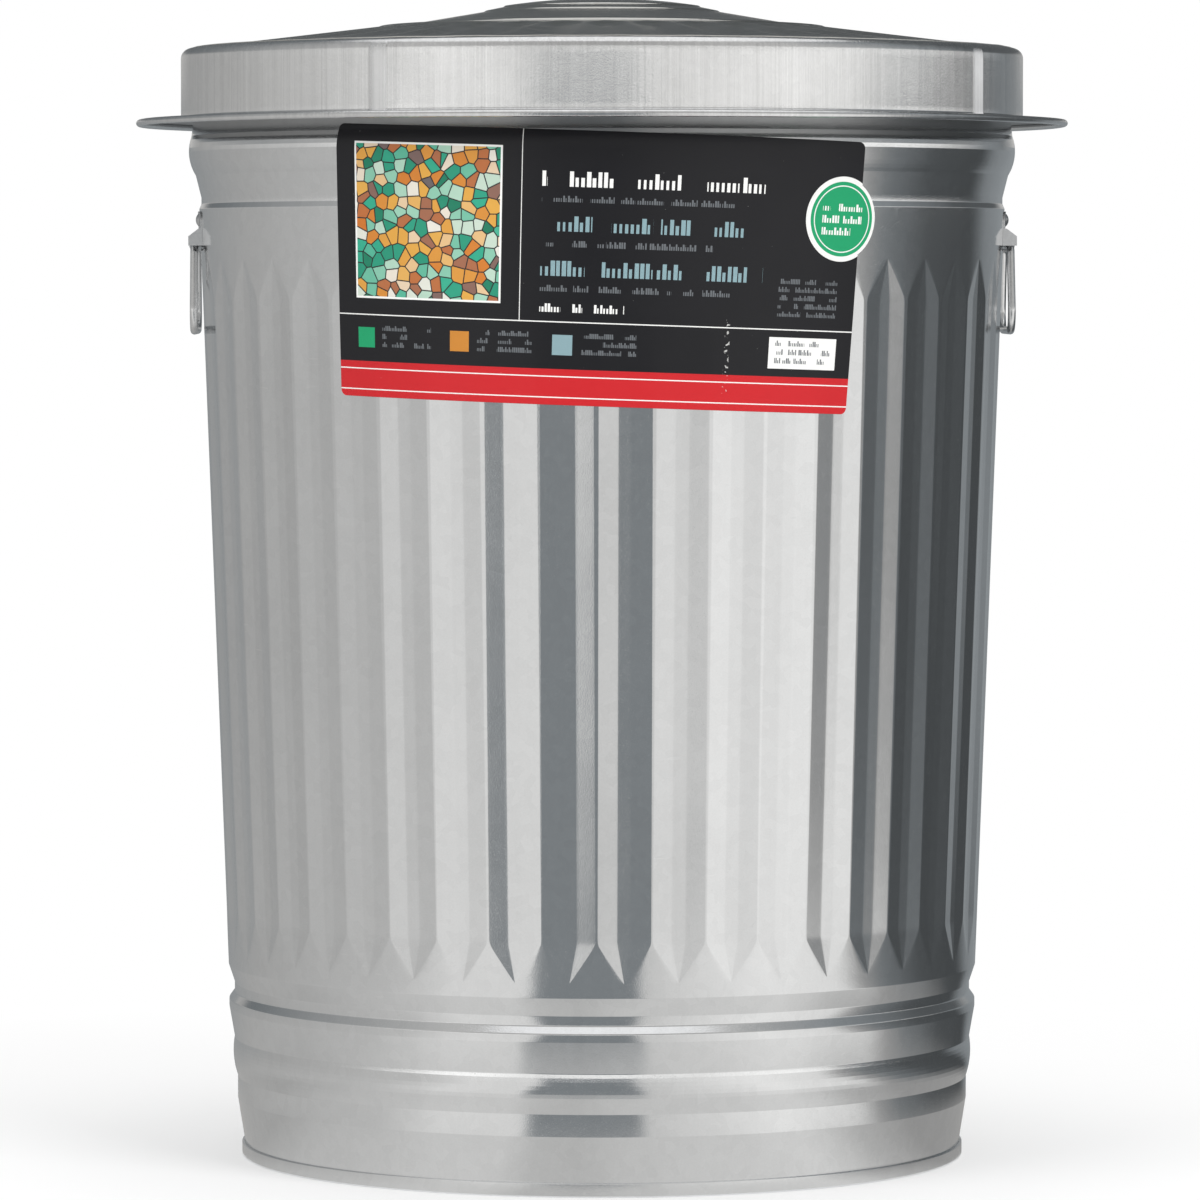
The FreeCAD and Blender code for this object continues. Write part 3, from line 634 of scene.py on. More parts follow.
    def make_mosaic(self) -> Tree:
        """Patchwork of many-coloured tiles in the flat layout of a print.

        Returns:
            Group with Color.
        """
        nodes, start, end = new_group("ink_mosaic", {"Size": 7.0}, ("Color",), "Color")
        scale = nodes.math("DIVIDE", 1.0, start["Size"])
        cells = {"Vector": start["Vector"], "Scale": scale, "Randomness": 0.9}
        tiles, joints = (
            nodes.add("TexVoronoi", cells, voronoi_dimensions="2D", feature=feature).outputs
            for feature in ("F1", "DISTANCE_TO_EDGE"))
        pick = nodes.add("SeparateColor", {0: tiles["Color"]})
        paint = nodes.ramp(pick.outputs[0], (
            (0.0, (0.01, 0.16, 0.09)), (0.25, (0.03, 0.34, 0.22)), (0.4, (0.30, 0.52, 0.40)),
            (0.5, (0.66, 0.64, 0.58)), (0.62, (0.62, 0.33, 0.06)), (0.8, (0.50, 0.14, 0.02)),
            (1.0, (0.10, 0.10, 0.11)),
        ))
        line = nodes.math("LESS_THAN", joints["Distance"], 0.05)
        nodes.feed(end["Color"], nodes.mix(line, paint, (0.02, 0.02, 0.022, 1.0)))
        return nodes.tree


# Finishes


@dataclass(frozen=True)
class ZincFinish:
    """Galvanised sheet or wire."""

    name: str
    colour: Colour
    roughness: float
    crystal: float = 0.006
    grain: float = 0.0011
    tone: float = 0.10
    bump: float = 0.10
    streak: Streak = Streak.NONE
    streak_tone: float = 0.0
    streak_bump: float = 0.6
    streak_count: float = 420.0
    dents: float = 0.0004
    specks: float = 0.0
    rubbed: float = 0.0
    shades: Tuple[float, float] = (0.15, 1.25)
    grain_rough: float = 0.10
    smudge_scale: float = 8.0
    smudge_dark: float = 0.04
    smudge_rough: float = 0.05
    scratch: Colour = (0.95, 0.95, 0.94)
    scratch_share: float = 0.25
    # Painted shade: inner faces are mixed towards this dark grey by a share, as the shade under the
    # lid's brim and inside its skirt.
    inner_shade: Colour = (0.10, 0.10, 0.10)
    inner_shade_share: float = 0.6
    dull_rough: float = 0.22
    dent_scale: float = 11.0
    relief: float = 0.0004

    def course(self, nodes: Nodes, place: Socket) -> Socket:
        """Coordinates that the rolling marks follow: radius first where they run in rings.

        Args:
            nodes: Nodes of the material.
            place: Coordinates on the object.

        Returns:
            Coordinates for the marks.
        """
        if self.streak is not Streak.RINGS:
            return place
        x, y, _ = nodes.split(place)
        level = nodes.add("CombineXYZ", {0: x, 1: y}).outputs[0]
        return nodes.add("CombineXYZ", {0: nodes.length(level), 2: y}).outputs[0]

    def make(self, effects: Effects) -> Material:
        """Makes the material.

        Args:
            effects: The shared node groups.

        Returns:
            The material.
        """
        material, nodes, shader = new_material(self.name)
        place = nodes.place()
        zinc = nodes.group(effects.spangle, Vector=place, Crystal_Size=self.crystal,
                           Grain_Size=self.grain)
        marks = nodes.group(effects.scuffs, Vector=place, Scale=self.smudge_scale)
        shader.inputs["Metallic"].default_value = 1.0
        shade, height = nodes.swing(zinc["Tone"], self.tone), zinc["Height"]
        if self.streak is not Streak.NONE:
            upright = 0.0 if self.streak is Streak.ROUND else 1.0
            lines = nodes.group(effects.streaks, Vector=self.course(nodes, place), Upright=upright,
                                Across=self.streak_count)
            shade = nodes.math("ADD", shade, nodes.swing(lines["Tone"], self.streak_tone))
            height = nodes.plus(height, lines["Height"], self.streak_bump)
        level = nodes.math("MAXIMUM", nodes.math("ADD", 1.0, shade), self.shades[0])
        level = nodes.math("MINIMUM", level, self.shades[1])
        level = nodes.plus(level, marks["Smudge"], -self.smudge_dark)
        bright = nodes.add("CombineColor", {channel: level for channel in range(3)}).outputs[0]
        base = nodes.mix(1.0, (*self.colour, 1.0), bright, "MULTIPLY")
        scratched = nodes.math("MULTIPLY", marks["Scratch"], self.scratch_share)
        base = nodes.mix(scratched, base, (*self.scratch, 1.0))
        rough = nodes.math("ADD", self.roughness, nodes.swing(zinc["Grain"], self.grain_rough))
        rough = nodes.plus(rough, marks["Smudge"], self.smudge_rough)
        if self.specks:
            rough = nodes.plus(rough, zinc["Speck"], self.specks)
        if self.rubbed:
            worn, inner, _ = nodes.split(nodes.layout())
            band = nodes.math("MULTIPLY", worn, nodes.plus(0.75, zinc["Grain"], 0.5))
            rough = nodes.plus(rough, band, self.rubbed)
            nodes.feed(shader.inputs["Metallic"], nodes.plus(1.0, band, -self.rubbed))
            # Painted shade: darkens the inner faces, marked in the layout's second channel, towards a
            # dark grey.
            base = nodes.mix(nodes.math("MULTIPLY", inner, self.inner_shade_share), base, (*self.inner_shade, 1.0))
            rough = nodes.plus(rough, inner, self.dull_rough)
        slow = nodes.noise(place, self.dent_scale, 1.0)
        dented = nodes.add("Bump", {"Strength": 1.0, "Distance": self.dents, "Height": slow})
        bumped = nodes.add("Bump", {"Strength": self.bump, "Distance": self.relief, "Height": height,
                                    "Normal": dented.outputs[0]})
        nodes.coat(shader, base, rough, bumped.outputs[0])
        return material


@dataclass(frozen=True)
class PrintFinish:
    """Printed film of the label: dark ground, red band, pale rules, a patchwork panel and a green lug.

    Places on it are millimetres from its lower left corner.
    """

    ground: Colour = (0.009, 0.009, 0.011)
    red: Colour = (0.50, 0.013, 0.018)
    pale: Colour = (0.76, 0.76, 0.74)
    grey: Colour = (0.12, 0.13, 0.14)
    teal: Colour = (0.21, 0.32, 0.35)
    green: Colour = (0.01, 0.29, 0.12)
    amber: Colour = (0.50, 0.20, 0.03)
    worn: Colour = (0.6, 0.6, 0.58)

    def make(self, effects: Effects, lug: Tuple[float, float, float]) -> Material:
        """Makes the material.

        Args:
            effects: The shared node groups.
            lug: Middle and radius of the round lug.

        Returns:
            The material.
        """
        material, nodes, shader = new_material("printed_film")
        flat, place = nodes.layout(), nodes.place()
        colour = (*self.ground, 1.0)

        def box(left: float, right: float, low: float, high: float) -> Socket:
            """Mask of a box."""
            sides = {"Left": left, "Right": right, "Low": low, "High": high}
            return nodes.group(effects.block, Vector=flat, **sides)[0]

        def ink(mask: Socket, paint: Union[Colour, Socket]) -> None:
            """Prints a colour over what is there."""
            nonlocal colour
            colour = nodes.mix(mask, colour, paint if isinstance(paint, Socket) else (*paint, 1.0))

        def disc(paint: Colour, inner: float, outer: float) -> None:
            """Prints a disc or a ring on the lug."""
            mask = nodes.group(effects.disc, Vector=flat, X=lug[0], Y=lug[1], Inner=inner, Outer=outer)
            ink(mask[0], paint)

        def strokes(paint: Colour, left: float, right: float, low: float, rows: int, size: float,
                    stroke: float = 0.36, run: float = 3.4) -> None:
            """Prints rows of plain strokes of a size from a lower left corner."""
            pitch = 1.6 * size
            mask = nodes.group(effects.rows, Vector=flat, Low=low, Pitch=pitch, Stroke=stroke * size,
                               Run=run * size)[0]
            within = box(left, right, low, low + pitch * (rows - 1) + size)
            ink(nodes.math("MULTIPLY", mask, within), paint)

        ink(box(0.0, 400.0, 0.0, 21.0), self.red)
        for low in (4.0, 16.2, 48.0):
            ink(box(0.0, 400.0, low, low + 0.8), self.pale)
        ink(box(118.0, 118.6, 48.0, 160.0), self.pale)
        ink(box(13.0, 107.0, 58.0, 150.0), self.pale)
        ink(box(14.2, 105.8, 59.2, 148.8), nodes.group(effects.mosaic, Vector=flat, Size=7.0)[0])
        heads = ((127.0, self.pale, 130.0), (101.0, self.teal, 118.0), (75.0, self.teal, 132.0))
        for low, main, length in heads:
            strokes(main, 130.0, 130.0 + length, low, 1, 9.0)
            strokes(self.grey, 130.0, 112.0 + length, low - 9.0, 1, 3.8)
        strokes(self.pale, 130.0, 180.0, 54.0, 1, 5.0)
        strokes(self.grey, 272.0, 312.0, 56.0, 5, 3.0)
        for index, tint in enumerate((self.green, self.amber, self.teal)):
            left = 14.0 + 62.0 * index
            ink(box(left, left + 12.0, 29.0, 41.0), tint)
            strokes(self.grey, left + 17.0, left + 50.0, 29.6, 3, 3.0)
        ink(box(268.0, 314.0, 25.5, 44.0), self.pale)
        strokes(self.grey, 272.0, 310.0, 28.6, 3, 3.2)
        disc(self.pale, -1.0, lug[2] + 1.0)
        disc(self.green, -1.0, lug[2] - 2.0)
        disc(self.pale, lug[2] - 5.0, lug[2] - 4.2)
        strokes(self.pale, lug[0] - 14.0, lug[0] + 14.0, lug[1] - 9.5, 3, 4.4, stroke=0.42, run=5.0)

        fleck = nodes.spread(nodes.noise(flat, 0.55, 1.0), 0.80, 0.83)
        strewn = nodes.math("GREATER_THAN", nodes.noise(flat, 0.45, 2.0), 0.60)
        crease = nodes.math("MULTIPLY", box(240.0, 243.2, 9.0, 53.0), strewn)
        worn = nodes.math("MAXIMUM", nodes.math("MULTIPLY", fleck, 0.5), crease)
        ink(nodes.math("MULTIPLY", worn, 0.7), self.worn)
        marks = nodes.group(effects.scuffs, Vector=place, Scale=26.0)
        rough = nodes.plus(0.30, nodes.noise(place, 900.0, 2.0), 0.08)
        rough = nodes.plus(rough, marks["Smudge"], 0.08)
        film = nodes.noise(place, 24.0, 1.0)
        creased = nodes.add("Bump", {"Strength": 0.5, "Distance": 0.0010, "Height": film})
        nodes.coat(shader, colour, rough, creased.outputs[0])
        shader.inputs["Specular IOR Level"].default_value = 0.30
        return material


class Finishes:
    """All the finishes, made once."""

    def __init__(self, effects: Effects) -> None:
        """Makes the materials.

        Args:
            effects: The shared node groups.
        """
        def zinc(name: str, colour: Colour, roughness: float, **more) -> Material:
            """Material of one zinc finish."""
            return ZincFinish(name, colour, roughness, **more).make(effects)

        self.effects = effects
        self.wall = zinc("zinc_wall", (0.79, 0.80, 0.81), 0.095, grain=0.0007, tone=0.06, bump=0.045,
                         streak=Streak.UPRIGHT, streak_tone=0.05, streak_bump=0.0, specks=0.08)
        self.bottom = zinc("zinc_bottom", (0.78, 0.79, 0.80), 0.20, crystal=0.012, tone=0.06)
        self.lid = zinc("zinc_lid", (0.79, 0.795, 0.80), 0.18, tone=0.05, streak=Streak.UPRIGHT,
                        streak_tone=0.50, streak_bump=1.3, streak_count=820.0, dents=0.0006,
                        rubbed=0.42)
        # Crown: rolling marks in rings; their strong tone also paints in the banded light and dark
        # reflections across the crown.
        self.crown = zinc("zinc_crown", (0.70, 0.695, 0.665), 0.13, streak=Streak.RINGS,
                          streak_tone=1.2, streak_bump=5.0, streak_count=150.0, dents=0.0010)
        self.ear = zinc("zinc_ear", (0.70, 0.71, 0.72), 0.30, crystal=0.004)
        self.rivet = zinc("steel_rivet", (0.62, 0.63, 0.64), 0.28, crystal=0.002, grain=0.0006)
        self.handle = zinc("zinc_handle", (0.78, 0.785, 0.79), 0.22, crystal=0.003, grain=0.0008,
                           streak=Streak.ROUND, streak_tone=0.08)
        self.wire = zinc("plain_wire", (0.55, 0.55, 0.55), 0.35, crystal=0.003)


def dress_node(name: str, material: Material) -> None:
    """Gives a carried-over solid its finish.

    Args:
        name: Node of the solid.
        material: Finish for all of it.
    """
    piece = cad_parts[name]
    piece.data.materials.clear()
    piece.data.materials.append(material)
    log.info("dressed %s with %s", name, material.name)


def fit_piece(piece: Piece, body: Body, slot: str, material: Material, *nodes: str) -> None:
    """Sets a new piece on its body, in place of solids.

    Args:
        piece: The new piece.
        body: Body that it moves with.
        slot: Material slot of the record; not used.
        material: Its finish.
        nodes: Solids that it stands for.
    """
    piece.data.materials.append(material)
    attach(piece, body.value)
    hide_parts(*nodes)
    log.info("built %s on %s", piece.name, body.value)


# Sub-assemblies


@dataclass
class Can:
    """Fluted wall with its rolled rim and lock seam, and the bottom seamed to it."""

    sheet: float = 0.5
    bend: float = 1.8
    cone_base: float = 226.4
    cone_slope: float = 0.0365
    foot: float = 221.0
    foot_top: float = 9.5
    hem_height: float = 8.5
    hem_out: float = 222.65
    seam_gap: float = 0.05
    floor_height: float = 7.0
    floor_step: float = 12.0
    rim_height: float = 677.8
    rim_centre: float = 254.034
    rim_roll: float = 2.15
    neck: float = 252.384
    waist: Point = (251.084, 638.0)
    notch: float = 246.384
    seam_turn: float = 88.0
    seam_width: float = 9.0
    seam_proud: float = 0.9
    flutes: Pressing = field(default_factory=lambda: Pressing(
        count=45, depth=1.58, mouth=15.8, floor=4.1, low_tip=127.0, low_full=150.5, high_full=528.5,
        high_tip=552.0, skip=11))

    def cone(self, z: float) -> float:
        """Outer radius of the plain cone at a height."""
        return self.cone_base + self.cone_slope * z

    def foot_run(self) -> Run:
        """Outer section of the foot, from the hem up over the three beads.

        Returns:
            Points as radius and height, in millimetres.
        """
        cone = self.cone
        ledge, saddle = cone(36.0) - 2.5, cone(73.5) - 2.0
        band, groove = cone(92.5) + 0.6, cone(102.5) - 3.1
        run = [(self.foot, 3.0), (self.foot, self.foot_top), (ledge, 36.0), (ledge, 49.5)]
        run += arc_run(run[-1], (cone(61.5) - 0.9, 61.5), (saddle, 73.5), 10)[1:]
        run += [(band, 92.5), (band, 97.2), (groove, 101.8), (groove, 107.5)]
        return round_corners(run + [(cone(118.5), 118.5), (cone(125.0), 125.0)], self.bend)

    def bead_run(self, steps: int) -> Run:
        """Outer section of the bead under the neck, in a number of pieces."""
        return arc_run((self.notch + 3.4, 603.5), (self.neck + 1.5, 615.5), (self.neck, 627.5), steps)

    def neck_run(self) -> Run:
        """Outer section of the top, from the flutes' ends over the shoulder bead to the rim.

        Returns:
            Points as radius and height.
        """
        cone, notch = self.cone, self.notch
        run = [(cone(554.0), 554.0), (cone(583.0), 583.0), (notch, 586.0), (notch, 590.0)]
        run +=self.bead_run(10) + [self.waist, (self.neck, 656.0), (self.neck, self.rim_height - 1.0)]
        return round_corners(run, self.bend)

    def flute_rows(self) -> np.ndarray:
        """Heights of the rows of the fluted zone, closer together at the ends.

        Returns:
            Heights in rising order.
        """
        flutes = self.flutes
        ends = np.array([-2.0, -0.2, 0.35, 1.0, 2.5, 6.0, 11.0, 16.0, 20.0, 22.3, 23.1, 23.5, 24.0,
                         24.8, 27.0])
        low, high = flutes.low_tip + ends, flutes.high_tip - ends[::-1]
        return np.concatenate([low, np.linspace(low[-1], high[0], 16)[1:-1], high])

    def build_wall(self) -> Piece:
        """Builds the wall with both faces, the rolled rim and the lock seam.

        Returns:
            The wall.
        """
        mesh = SheetMesh()
        foot, neck = self.foot_run(), self.neck_run()
        for run in (foot, neck):
            mesh.lathe(run, 360)
            mesh.lathe([(r - self.sheet, z) for r, z in run], 180, flip=True)
        rows = self.flute_rows()
        rows[0], rows[-1] = foot[-1][1], neck[0][1]
        radius = self.cone_base + self.cone_slope * rows
        angles = self.flutes.columns(rows, radius)
        z, r = rows[:, None] + 0 * angles, radius[:, None] + 0 * angles
        pressed = r - self.flutes.depth_at(angles, z, r)
        mesh.grid(ring_points(angles, pressed, z), True)
        mesh.grid(ring_points(angles[:, ::2], pressed[:, ::2] - self.sheet, z[:, ::2]), True, flip=True)
        mesh.lathe(circle_run((self.rim_centre, self.rim_height), self.rim_roll), 240, flip=True)
        straight = [(self.cone(h), h) for h in np.linspace(foot[-1][1], neck[0][1], 12)]
        self.add_seam(mesh, foot + straight[1:-1] + neck)
        return mesh.make("can_wall_sheet")

    def add_seam(self, mesh: SheetMesh, run: Run) -> None:
        """Adds the folded seam that stands proud down the back.

        Args:
            mesh: Mesh of the wall.
            run: Outer section of the wall.
        """
        r, z = as_columns([p for p in run if p[1] >= self.foot_top])
        across = np.array([-0.5, -0.47, -0.4, -0.1, 0.2, 0.4, 0.47, 0.5])
        proud = np.array([-0.2, 0.55, 0.9, 1.0, 0.98, 0.9, 0.55, -0.2]) * self.seam_proud
        turns = math.radians(self.seam_turn) + across * self.seam_width / r
        mesh.grid(ring_points(turns, r + proud, z), False)

    def build_bottom(self) -> Piece:
        """Builds the raised floor and the folded hem round it.

        Returns:
            The bottom.
        """
        mesh = SheetMesh()
        leg, fold = self.foot - self.sheet - self.seam_gap, self.foot + self.seam_gap
        under = self.floor_height - self.sheet
        hem = round_corners([
            (fold, self.hem_height - 0.9), (fold, self.hem_height), (self.hem_out, self.hem_height),
            (self.hem_out, 0.0), (leg - self.sheet, 0.0), (leg - self.sheet, under), (0.01, under),
        ], 0.7, 5)
        floor = round_corners([
            (0.01, self.floor_height), (leg - 1.5, self.floor_height), (leg, self.floor_height + 0.2),
            (leg, self.hem_height),
        ], 1.0)
        for run in (hem, floor):
            mesh.lathe(split_long(run, self.floor_step), 240, flip=True)
        return mesh.make("can_bottom_sheet")

    def dress(self, finishes: Finishes) -> None:
        """Builds the can and gives it its finishes.

        Args:
            finishes: All the finishes.
        """
        fit_piece(self.build_wall(), Body.CAN, "galvanised_wall", finishes.wall, "can_wall")
        fit_piece(self.build_bottom(), Body.CAN, "galvanised_bottom", finishes.bottom, "can_bottom")
        dress_node("can_rim_wire", finishes.wire)


@dataclass
class Lid:
    """Lift-off lid: straight skirt with lap seams and brim, and the pressed crown."""

    sheet: float = 0.5
    skirt: float = 258.784
    corner: float = 6.0
    flange_height: float = 681.018
    flange: float = 8.8
    brim_height: float = 638.718
    brim_centre: Point = (284.234, 635.555)
    brim_roll: float = 2.05
    brim_droop: float = 2.5
    brim_bend: float = 1.0
    brim_sway: float = 0.35
    crown_edge: float = 251.984
    crown_foot: float = 242.984
    crown_rings: Tuple[Point, ...] = ((137.0, 13.6), (116.0, 15.0), (72.0, 23.2))
    crown_rise: float = 26.3
    crown_sway: float = 0.25
    laps: Tuple[float, float] = (-31.7, 58.9)
    lap_rub: Tuple[float, float] = (0.35, 1.3)
    lap_width: float = 13.0
    lap_proud: float = 0.8
    ridge: float = 0.8
    boss: float = 60.0
    boss_rise: float = 4.6
    fan: Pressing = field(default_factory=lambda: Pressing(
        count=36, depth=1.6, mouth=15.7, floor=4.0, low_tip=141.0, low_full=151.0, high_full=229.0,
        high_tip=239.0, bend=1.2, curve=0.0))

    def skirt_run(self, inset: float) -> Run:
        """Section of the skirt from the flange's edge over the corner and down to the brim's roll.

        Args:
            inset: Distance from the outer face.

        Returns:
            Points as radius and height.
        """
        centre = (self.skirt - self.corner, self.flange_height - self.corner)
        radius = self.corner - inset
        top = [(centre[0] - self.flange, self.flange_height - inset)]
        top += [(centre[0] + radius * math.sin(t), centre[1] + radius * math.cos(t))
                for t in np.linspace(0, math.pi / 2, 11)]
        droop = math.radians(self.brim_droop)
        run = [(self.skirt - inset, centre[1] - 4.0), (self.skirt - inset, self.brim_height - inset)]
        out = (self.brim_centre[0], self.brim_centre[1] + (self.brim_roll - inset) / math.cos(droop))
        return top + split_long(round_corners(run + [out], self.brim_bend + inset, 6), 3.0)

    def columns(self) -> np.ndarray:
        """Angles of the skirt's columns, closer together at the lap seams.

        Returns:
            Angles from +X, in radians, in rising order.
        """
        turns = set(np.round(np.arange(0.0, 360.0, 1.0), 4))
        half = math.degrees(self.lap_width / 2 / self.skirt)
        for lap in self.laps:
            for off in (-1.15, -1.0, -0.9, -0.6, -0.2, 0.3, 0.7, 0.88, 0.93, 0.97, 1.0, 1.04, 1.1):
                turns.add(round((lap - 90.0 + off * half) % 360.0, 4))
        return np.radians(np.array(sorted(turns)))

    def lap_lift(self, angles: np.ndarray) -> Tuple[np.ndarray, np.ndarray]:
        """How far the lap seams lift the skirt: a slow rise that ends in a step.

        Args:
            angles: Angles from +X.

        Returns:
            Lift at each angle, in millimetres, and how much it is rubbed.
        """
        lift, rub = np.zeros_like(angles), np.zeros_like(angles)
        for lap, worn in zip(self.laps, self.lap_rub):
            middle = math.radians(lap - 90.0)
            across = ((angles - middle + math.pi) % TURN - math.pi) * self.skirt / (self.lap_width / 2)
            ramp = np.clip((across + 1.0) / 0.5, 0, 1)
            fall = np.clip((1.0 - across) / 0.09, 0, 1)
            rise = np.minimum(ramp * ramp * (3 - 2 * ramp), fall)
            lift, rub = np.maximum(lift, rise), np.maximum(rub, worn * rise)
        return lift * self.lap_proud, rub

    def build_skirt(self) -> Piece:
        """Builds the skirt with both faces and the brim's rolled edge.

        Returns:
            The skirt.
        """
        mesh = SheetMesh()
        angles = self.columns()
        sway = self.brim_sway * waves(angles, 5, (2, 3, 5, 9))
        for inset, flip in ((0.0, True), (self.sheet, False)):
            r, z = as_columns(self.skirt_run(inset))
            on_band = np.clip((self.flange_height - 3.0 - z) / 4.0, 0, 1) * (r < self.skirt + 1.0)
            on_brim = np.clip((r - self.skirt - 3.0) / 20.0, 0, 1)
            lift, rub = [share * on_band for share in self.lap_lift(angles)]
            # The layout carries the rub of the laps and, second, a mark on the inner face, which the
            # lid finish darkens as painted shade.
            mesh.grid(ring_points(angles, r + lift, z + sway * on_brim), True, flip,
                      layout=np.stack([rub, 0 * rub + (inset > 0)], axis=-1))
        r, z = as_columns(circle_run(self.brim_centre, self.brim_roll))
        mesh.grid(ring_points(angles, r, z + sway), True, flip=True)
        return mesh.make("lid_skirt_sheet")

    def crown_run(self) -> Run:
        """Upper section of the crown from its edge over four ridges and the boss to the axis.

        Returns:
            Points as radius and height.
        """
        seat = self.flange_height + self.sheet
        top = seat + self.crown_rise
        ball = (self.boss ** 2 + self.boss_rise ** 2) / (2 * self.boss_rise)
        dome = []
        for t in np.linspace(0.0, 1.0, 9)[1:]:
            radius = self.boss * (1 - t)
            lift = math.sqrt(ball * ball - radius * radius) - ball + self.boss_rise
            dome.append((max(radius, 0.01), top + lift))
        edge = self.crown_edge
        run = [(edge, seat - self.sheet + 0.02), (edge, seat), (self.crown_foot, seat)]
        rings = [(radius, seat + rise) for radius, rise in self.crown_rings]
        for radius, height in rings + [(self.boss, top)]:
            run +=[(radius + self.ridge, height - self.ridge), (radius, height)]
        return round_corners(run, 3.0) + dome

    def build_crown(self) -> Piece:
        """Builds the crown with its fan of flutes, steps and boss, both faces.

        Returns:
            The crown.
        """
        mesh = SheetMesh()
        r, z = as_columns(split_long(self.crown_run(), 2.6))
        shares = [0.0, 0.03, 0.07, 0.14, 0.22, 0.30, 0.36, 0.40, 0.45]
        shares = shares + [0.5] + [1 - s for s in reversed(shares[1:])]
        pitch = TURN / self.fan.count
        angles = np.array([(i - 0.5 + s) * pitch for i in range(self.fan.count) for s in shares])
        scale = np.clip(r / 190.0, 0.5, 1.3)
        depth = self.fan.depth_at(angles + 0 * r, r + 0 * angles, r / scale + 0 * angles)
        sway = self.crown_sway * waves(angles, 11, (3, 7, 36)) * np.clip((r - 225.0) / 20.0, 0, 1)
        top = z - depth + np.maximum(sway, 0)
        mesh.grid(ring_points(angles, r, top), True)
        keep = r[:, 0] < self.crown_edge - 0.5
        mesh.grid(ring_points(angles, r[keep], top[keep] - self.sheet), True, flip=True)
        return mesh.make("lid_crown_sheet")

    def dress(self, finishes: Finishes) -> None:
        """Builds the lid and gives it its finishes.

        Args:
            finishes: All the finishes.
        """
        fit_piece(self.build_skirt(), Body.LID, "galvanised_lid", finishes.lid, "lid_skirt")
        fit_piece(self.build_crown(), Body.LID, "galvanised_lid", finishes.crown, "lid_crown")
        dress_node("lid_brim_wire", finishes.wire)


@dataclass
class DropHandle:
    """Pressed ear on one side, with its rivets and the wire handle that hangs in it."""

    side: Side

    def dress(self, finishes: Finishes) -> None:
        """Gives the ear, rivets and handle their finishes.

        Args:
            finishes: All the finishes.
        """
        dress_node("ear_" + self.side.value, finishes.ear)
        dress_node("ear_rivets_" + self.side.value, finishes.rivet)
        dress_node("handle_" + self.side.value, finishes.handle)


@dataclass
class Label:
    """Die-cut label wrapped round the front, a little tilted, with a round lug on its right edge."""

    can: Can
    width: float = 325.0
    height: float = 160.0
    corner: float = 4.0
    azimuth: float = -2.0
    middle: float = 546.0
    tilt: float = 2.0
    wrap: float = 247.5
    lift: float = 0.32
    film: float = 0.12
    foot: float = 460.6
    crest: float = 616.0
    lug_across: float = 312.0
    lug_up: float = 114.4
    lug: float = 24.0
    lug_lift: float = 0.08
    sink_share: float = 0.3
    sink_top: float = 520.0
    sink_fade: float = 50.0

    def skin_radius(self, z: np.ndarray) -> np.ndarray:
        """Radius of the taut film at a height: straight from the flutes up to the crest of the bead."""
        can = self.can
        run = [(can.cone(300.0), 300.0), (can.cone(self.foot), self.foot)]
        run += [p for p in can.bead_run(16) if p[1] > self.crest] + [can.waist]
        return np.interp(z, [p[1] for p in run], [p[0] for p in run])

    def wrapped(self, across: np.ndarray, up: np.ndarray, lift: float) -> np.ndarray:
        """Places flat points of the label on the can.

        Args:
            across: Distance from the left edge, in millimetres.
            up: Distance from the bottom edge.
            lift: Height over the surface.

        Returns:
            Points in metres.
        """
        tilt = math.radians(self.tilt)
        p, q = across - self.width / 2, up - self.height / 2
        a = p * math.cos(tilt) + q * math.sin(tilt)
        z = self.middle - p * math.sin(tilt) + q * math.cos(tilt)
        turn = math.radians(self.azimuth - 90.0) + a / self.wrap
        sink = self.can.flutes.depth_at(turn % TURN, z, 0 * turn + self.wrap)
        sink = self.sink_share * sink * np.clip((self.sink_top - z) / self.sink_fade, 0, 1)
        return ring_points(turn, self.skin_radius(z) + self.lift + lift - sink, z)

    def build(self) -> Piece:
        """Builds the sheet and the lug as one piece, front and back.

        Returns:
            The label.
        """
        mesh = SheetMesh()
        ends = self.corner * (1 - np.cos(np.linspace(0, math.pi / 2, 7)))
        up = np.concatenate([ends[:-1], np.linspace(self.corner, self.height - self.corner, 70),
                             self.height - ends[::-1][1:]])[:, None]
        near = np.minimum(np.minimum(up, self.height - up), self.corner)
        inset = self.corner - np.sqrt(np.maximum(0, self.corner ** 2 - (self.corner - near) ** 2))
        sheet = inset + np.linspace(0, 1, 221) * (self.width - 2 * inset)
        rings = np.linspace(0.02, 1.0, 22)[:, None] * self.lug
        turns = np.linspace(0, TURN, 64, endpoint=False)
        across, rise = self.lug_across + rings * np.cos(turns), self.lug_up + rings * np.sin(turns)
        shapes = ((sheet, up + 0 * sheet, 0.0, False), (across, rise, self.lug_lift, True))
        for x, y, lift, lug in shapes:
            layout = np.stack([x, y], axis=-1)
            mesh.grid(self.wrapped(x, y, lift), lug, flip=lug, layout=layout)
            mesh.grid(self.wrapped(x, y, -self.film), lug, flip=not lug, layout=layout)
        return mesh.make("label_film")

    def dress(self, finishes: Finishes) -> None:
        """Builds the label and prints it.

        Args:
            finishes: All the finishes.
        """
        ink = PrintFinish().make(finishes.effects, (self.lug_across, self.lug_up, self.lug))
        fit_piece(self.build(), Body.CAN, "printed_label", ink, "label")


# Studio


@dataclass(frozen=True)
class CardBand:
    """Brightness of the studio's cards at one level, by azimuth from the front towards the right."""

    stops: Tuple[Tuple[float, float], ...]
    shade: Colour = (0.93, 1.0, 1.04)
    glow: Colour = (1.01, 1.0, 0.98)
    dim: float = 0.35

    def ramp(self) -> List[Tuple[float, Colour]]:
        """Ramp stops from the back round by the left, the front and the right.

        Returns:
            Place and colour of each stop.
        """
        stops = []
        for azimuth, level in self.stops:
            tint = self.shade if level < self.dim else self.glow
            stops.append(((azimuth + 180) / 360, tuple(level * t for t in tint)))
        return stops


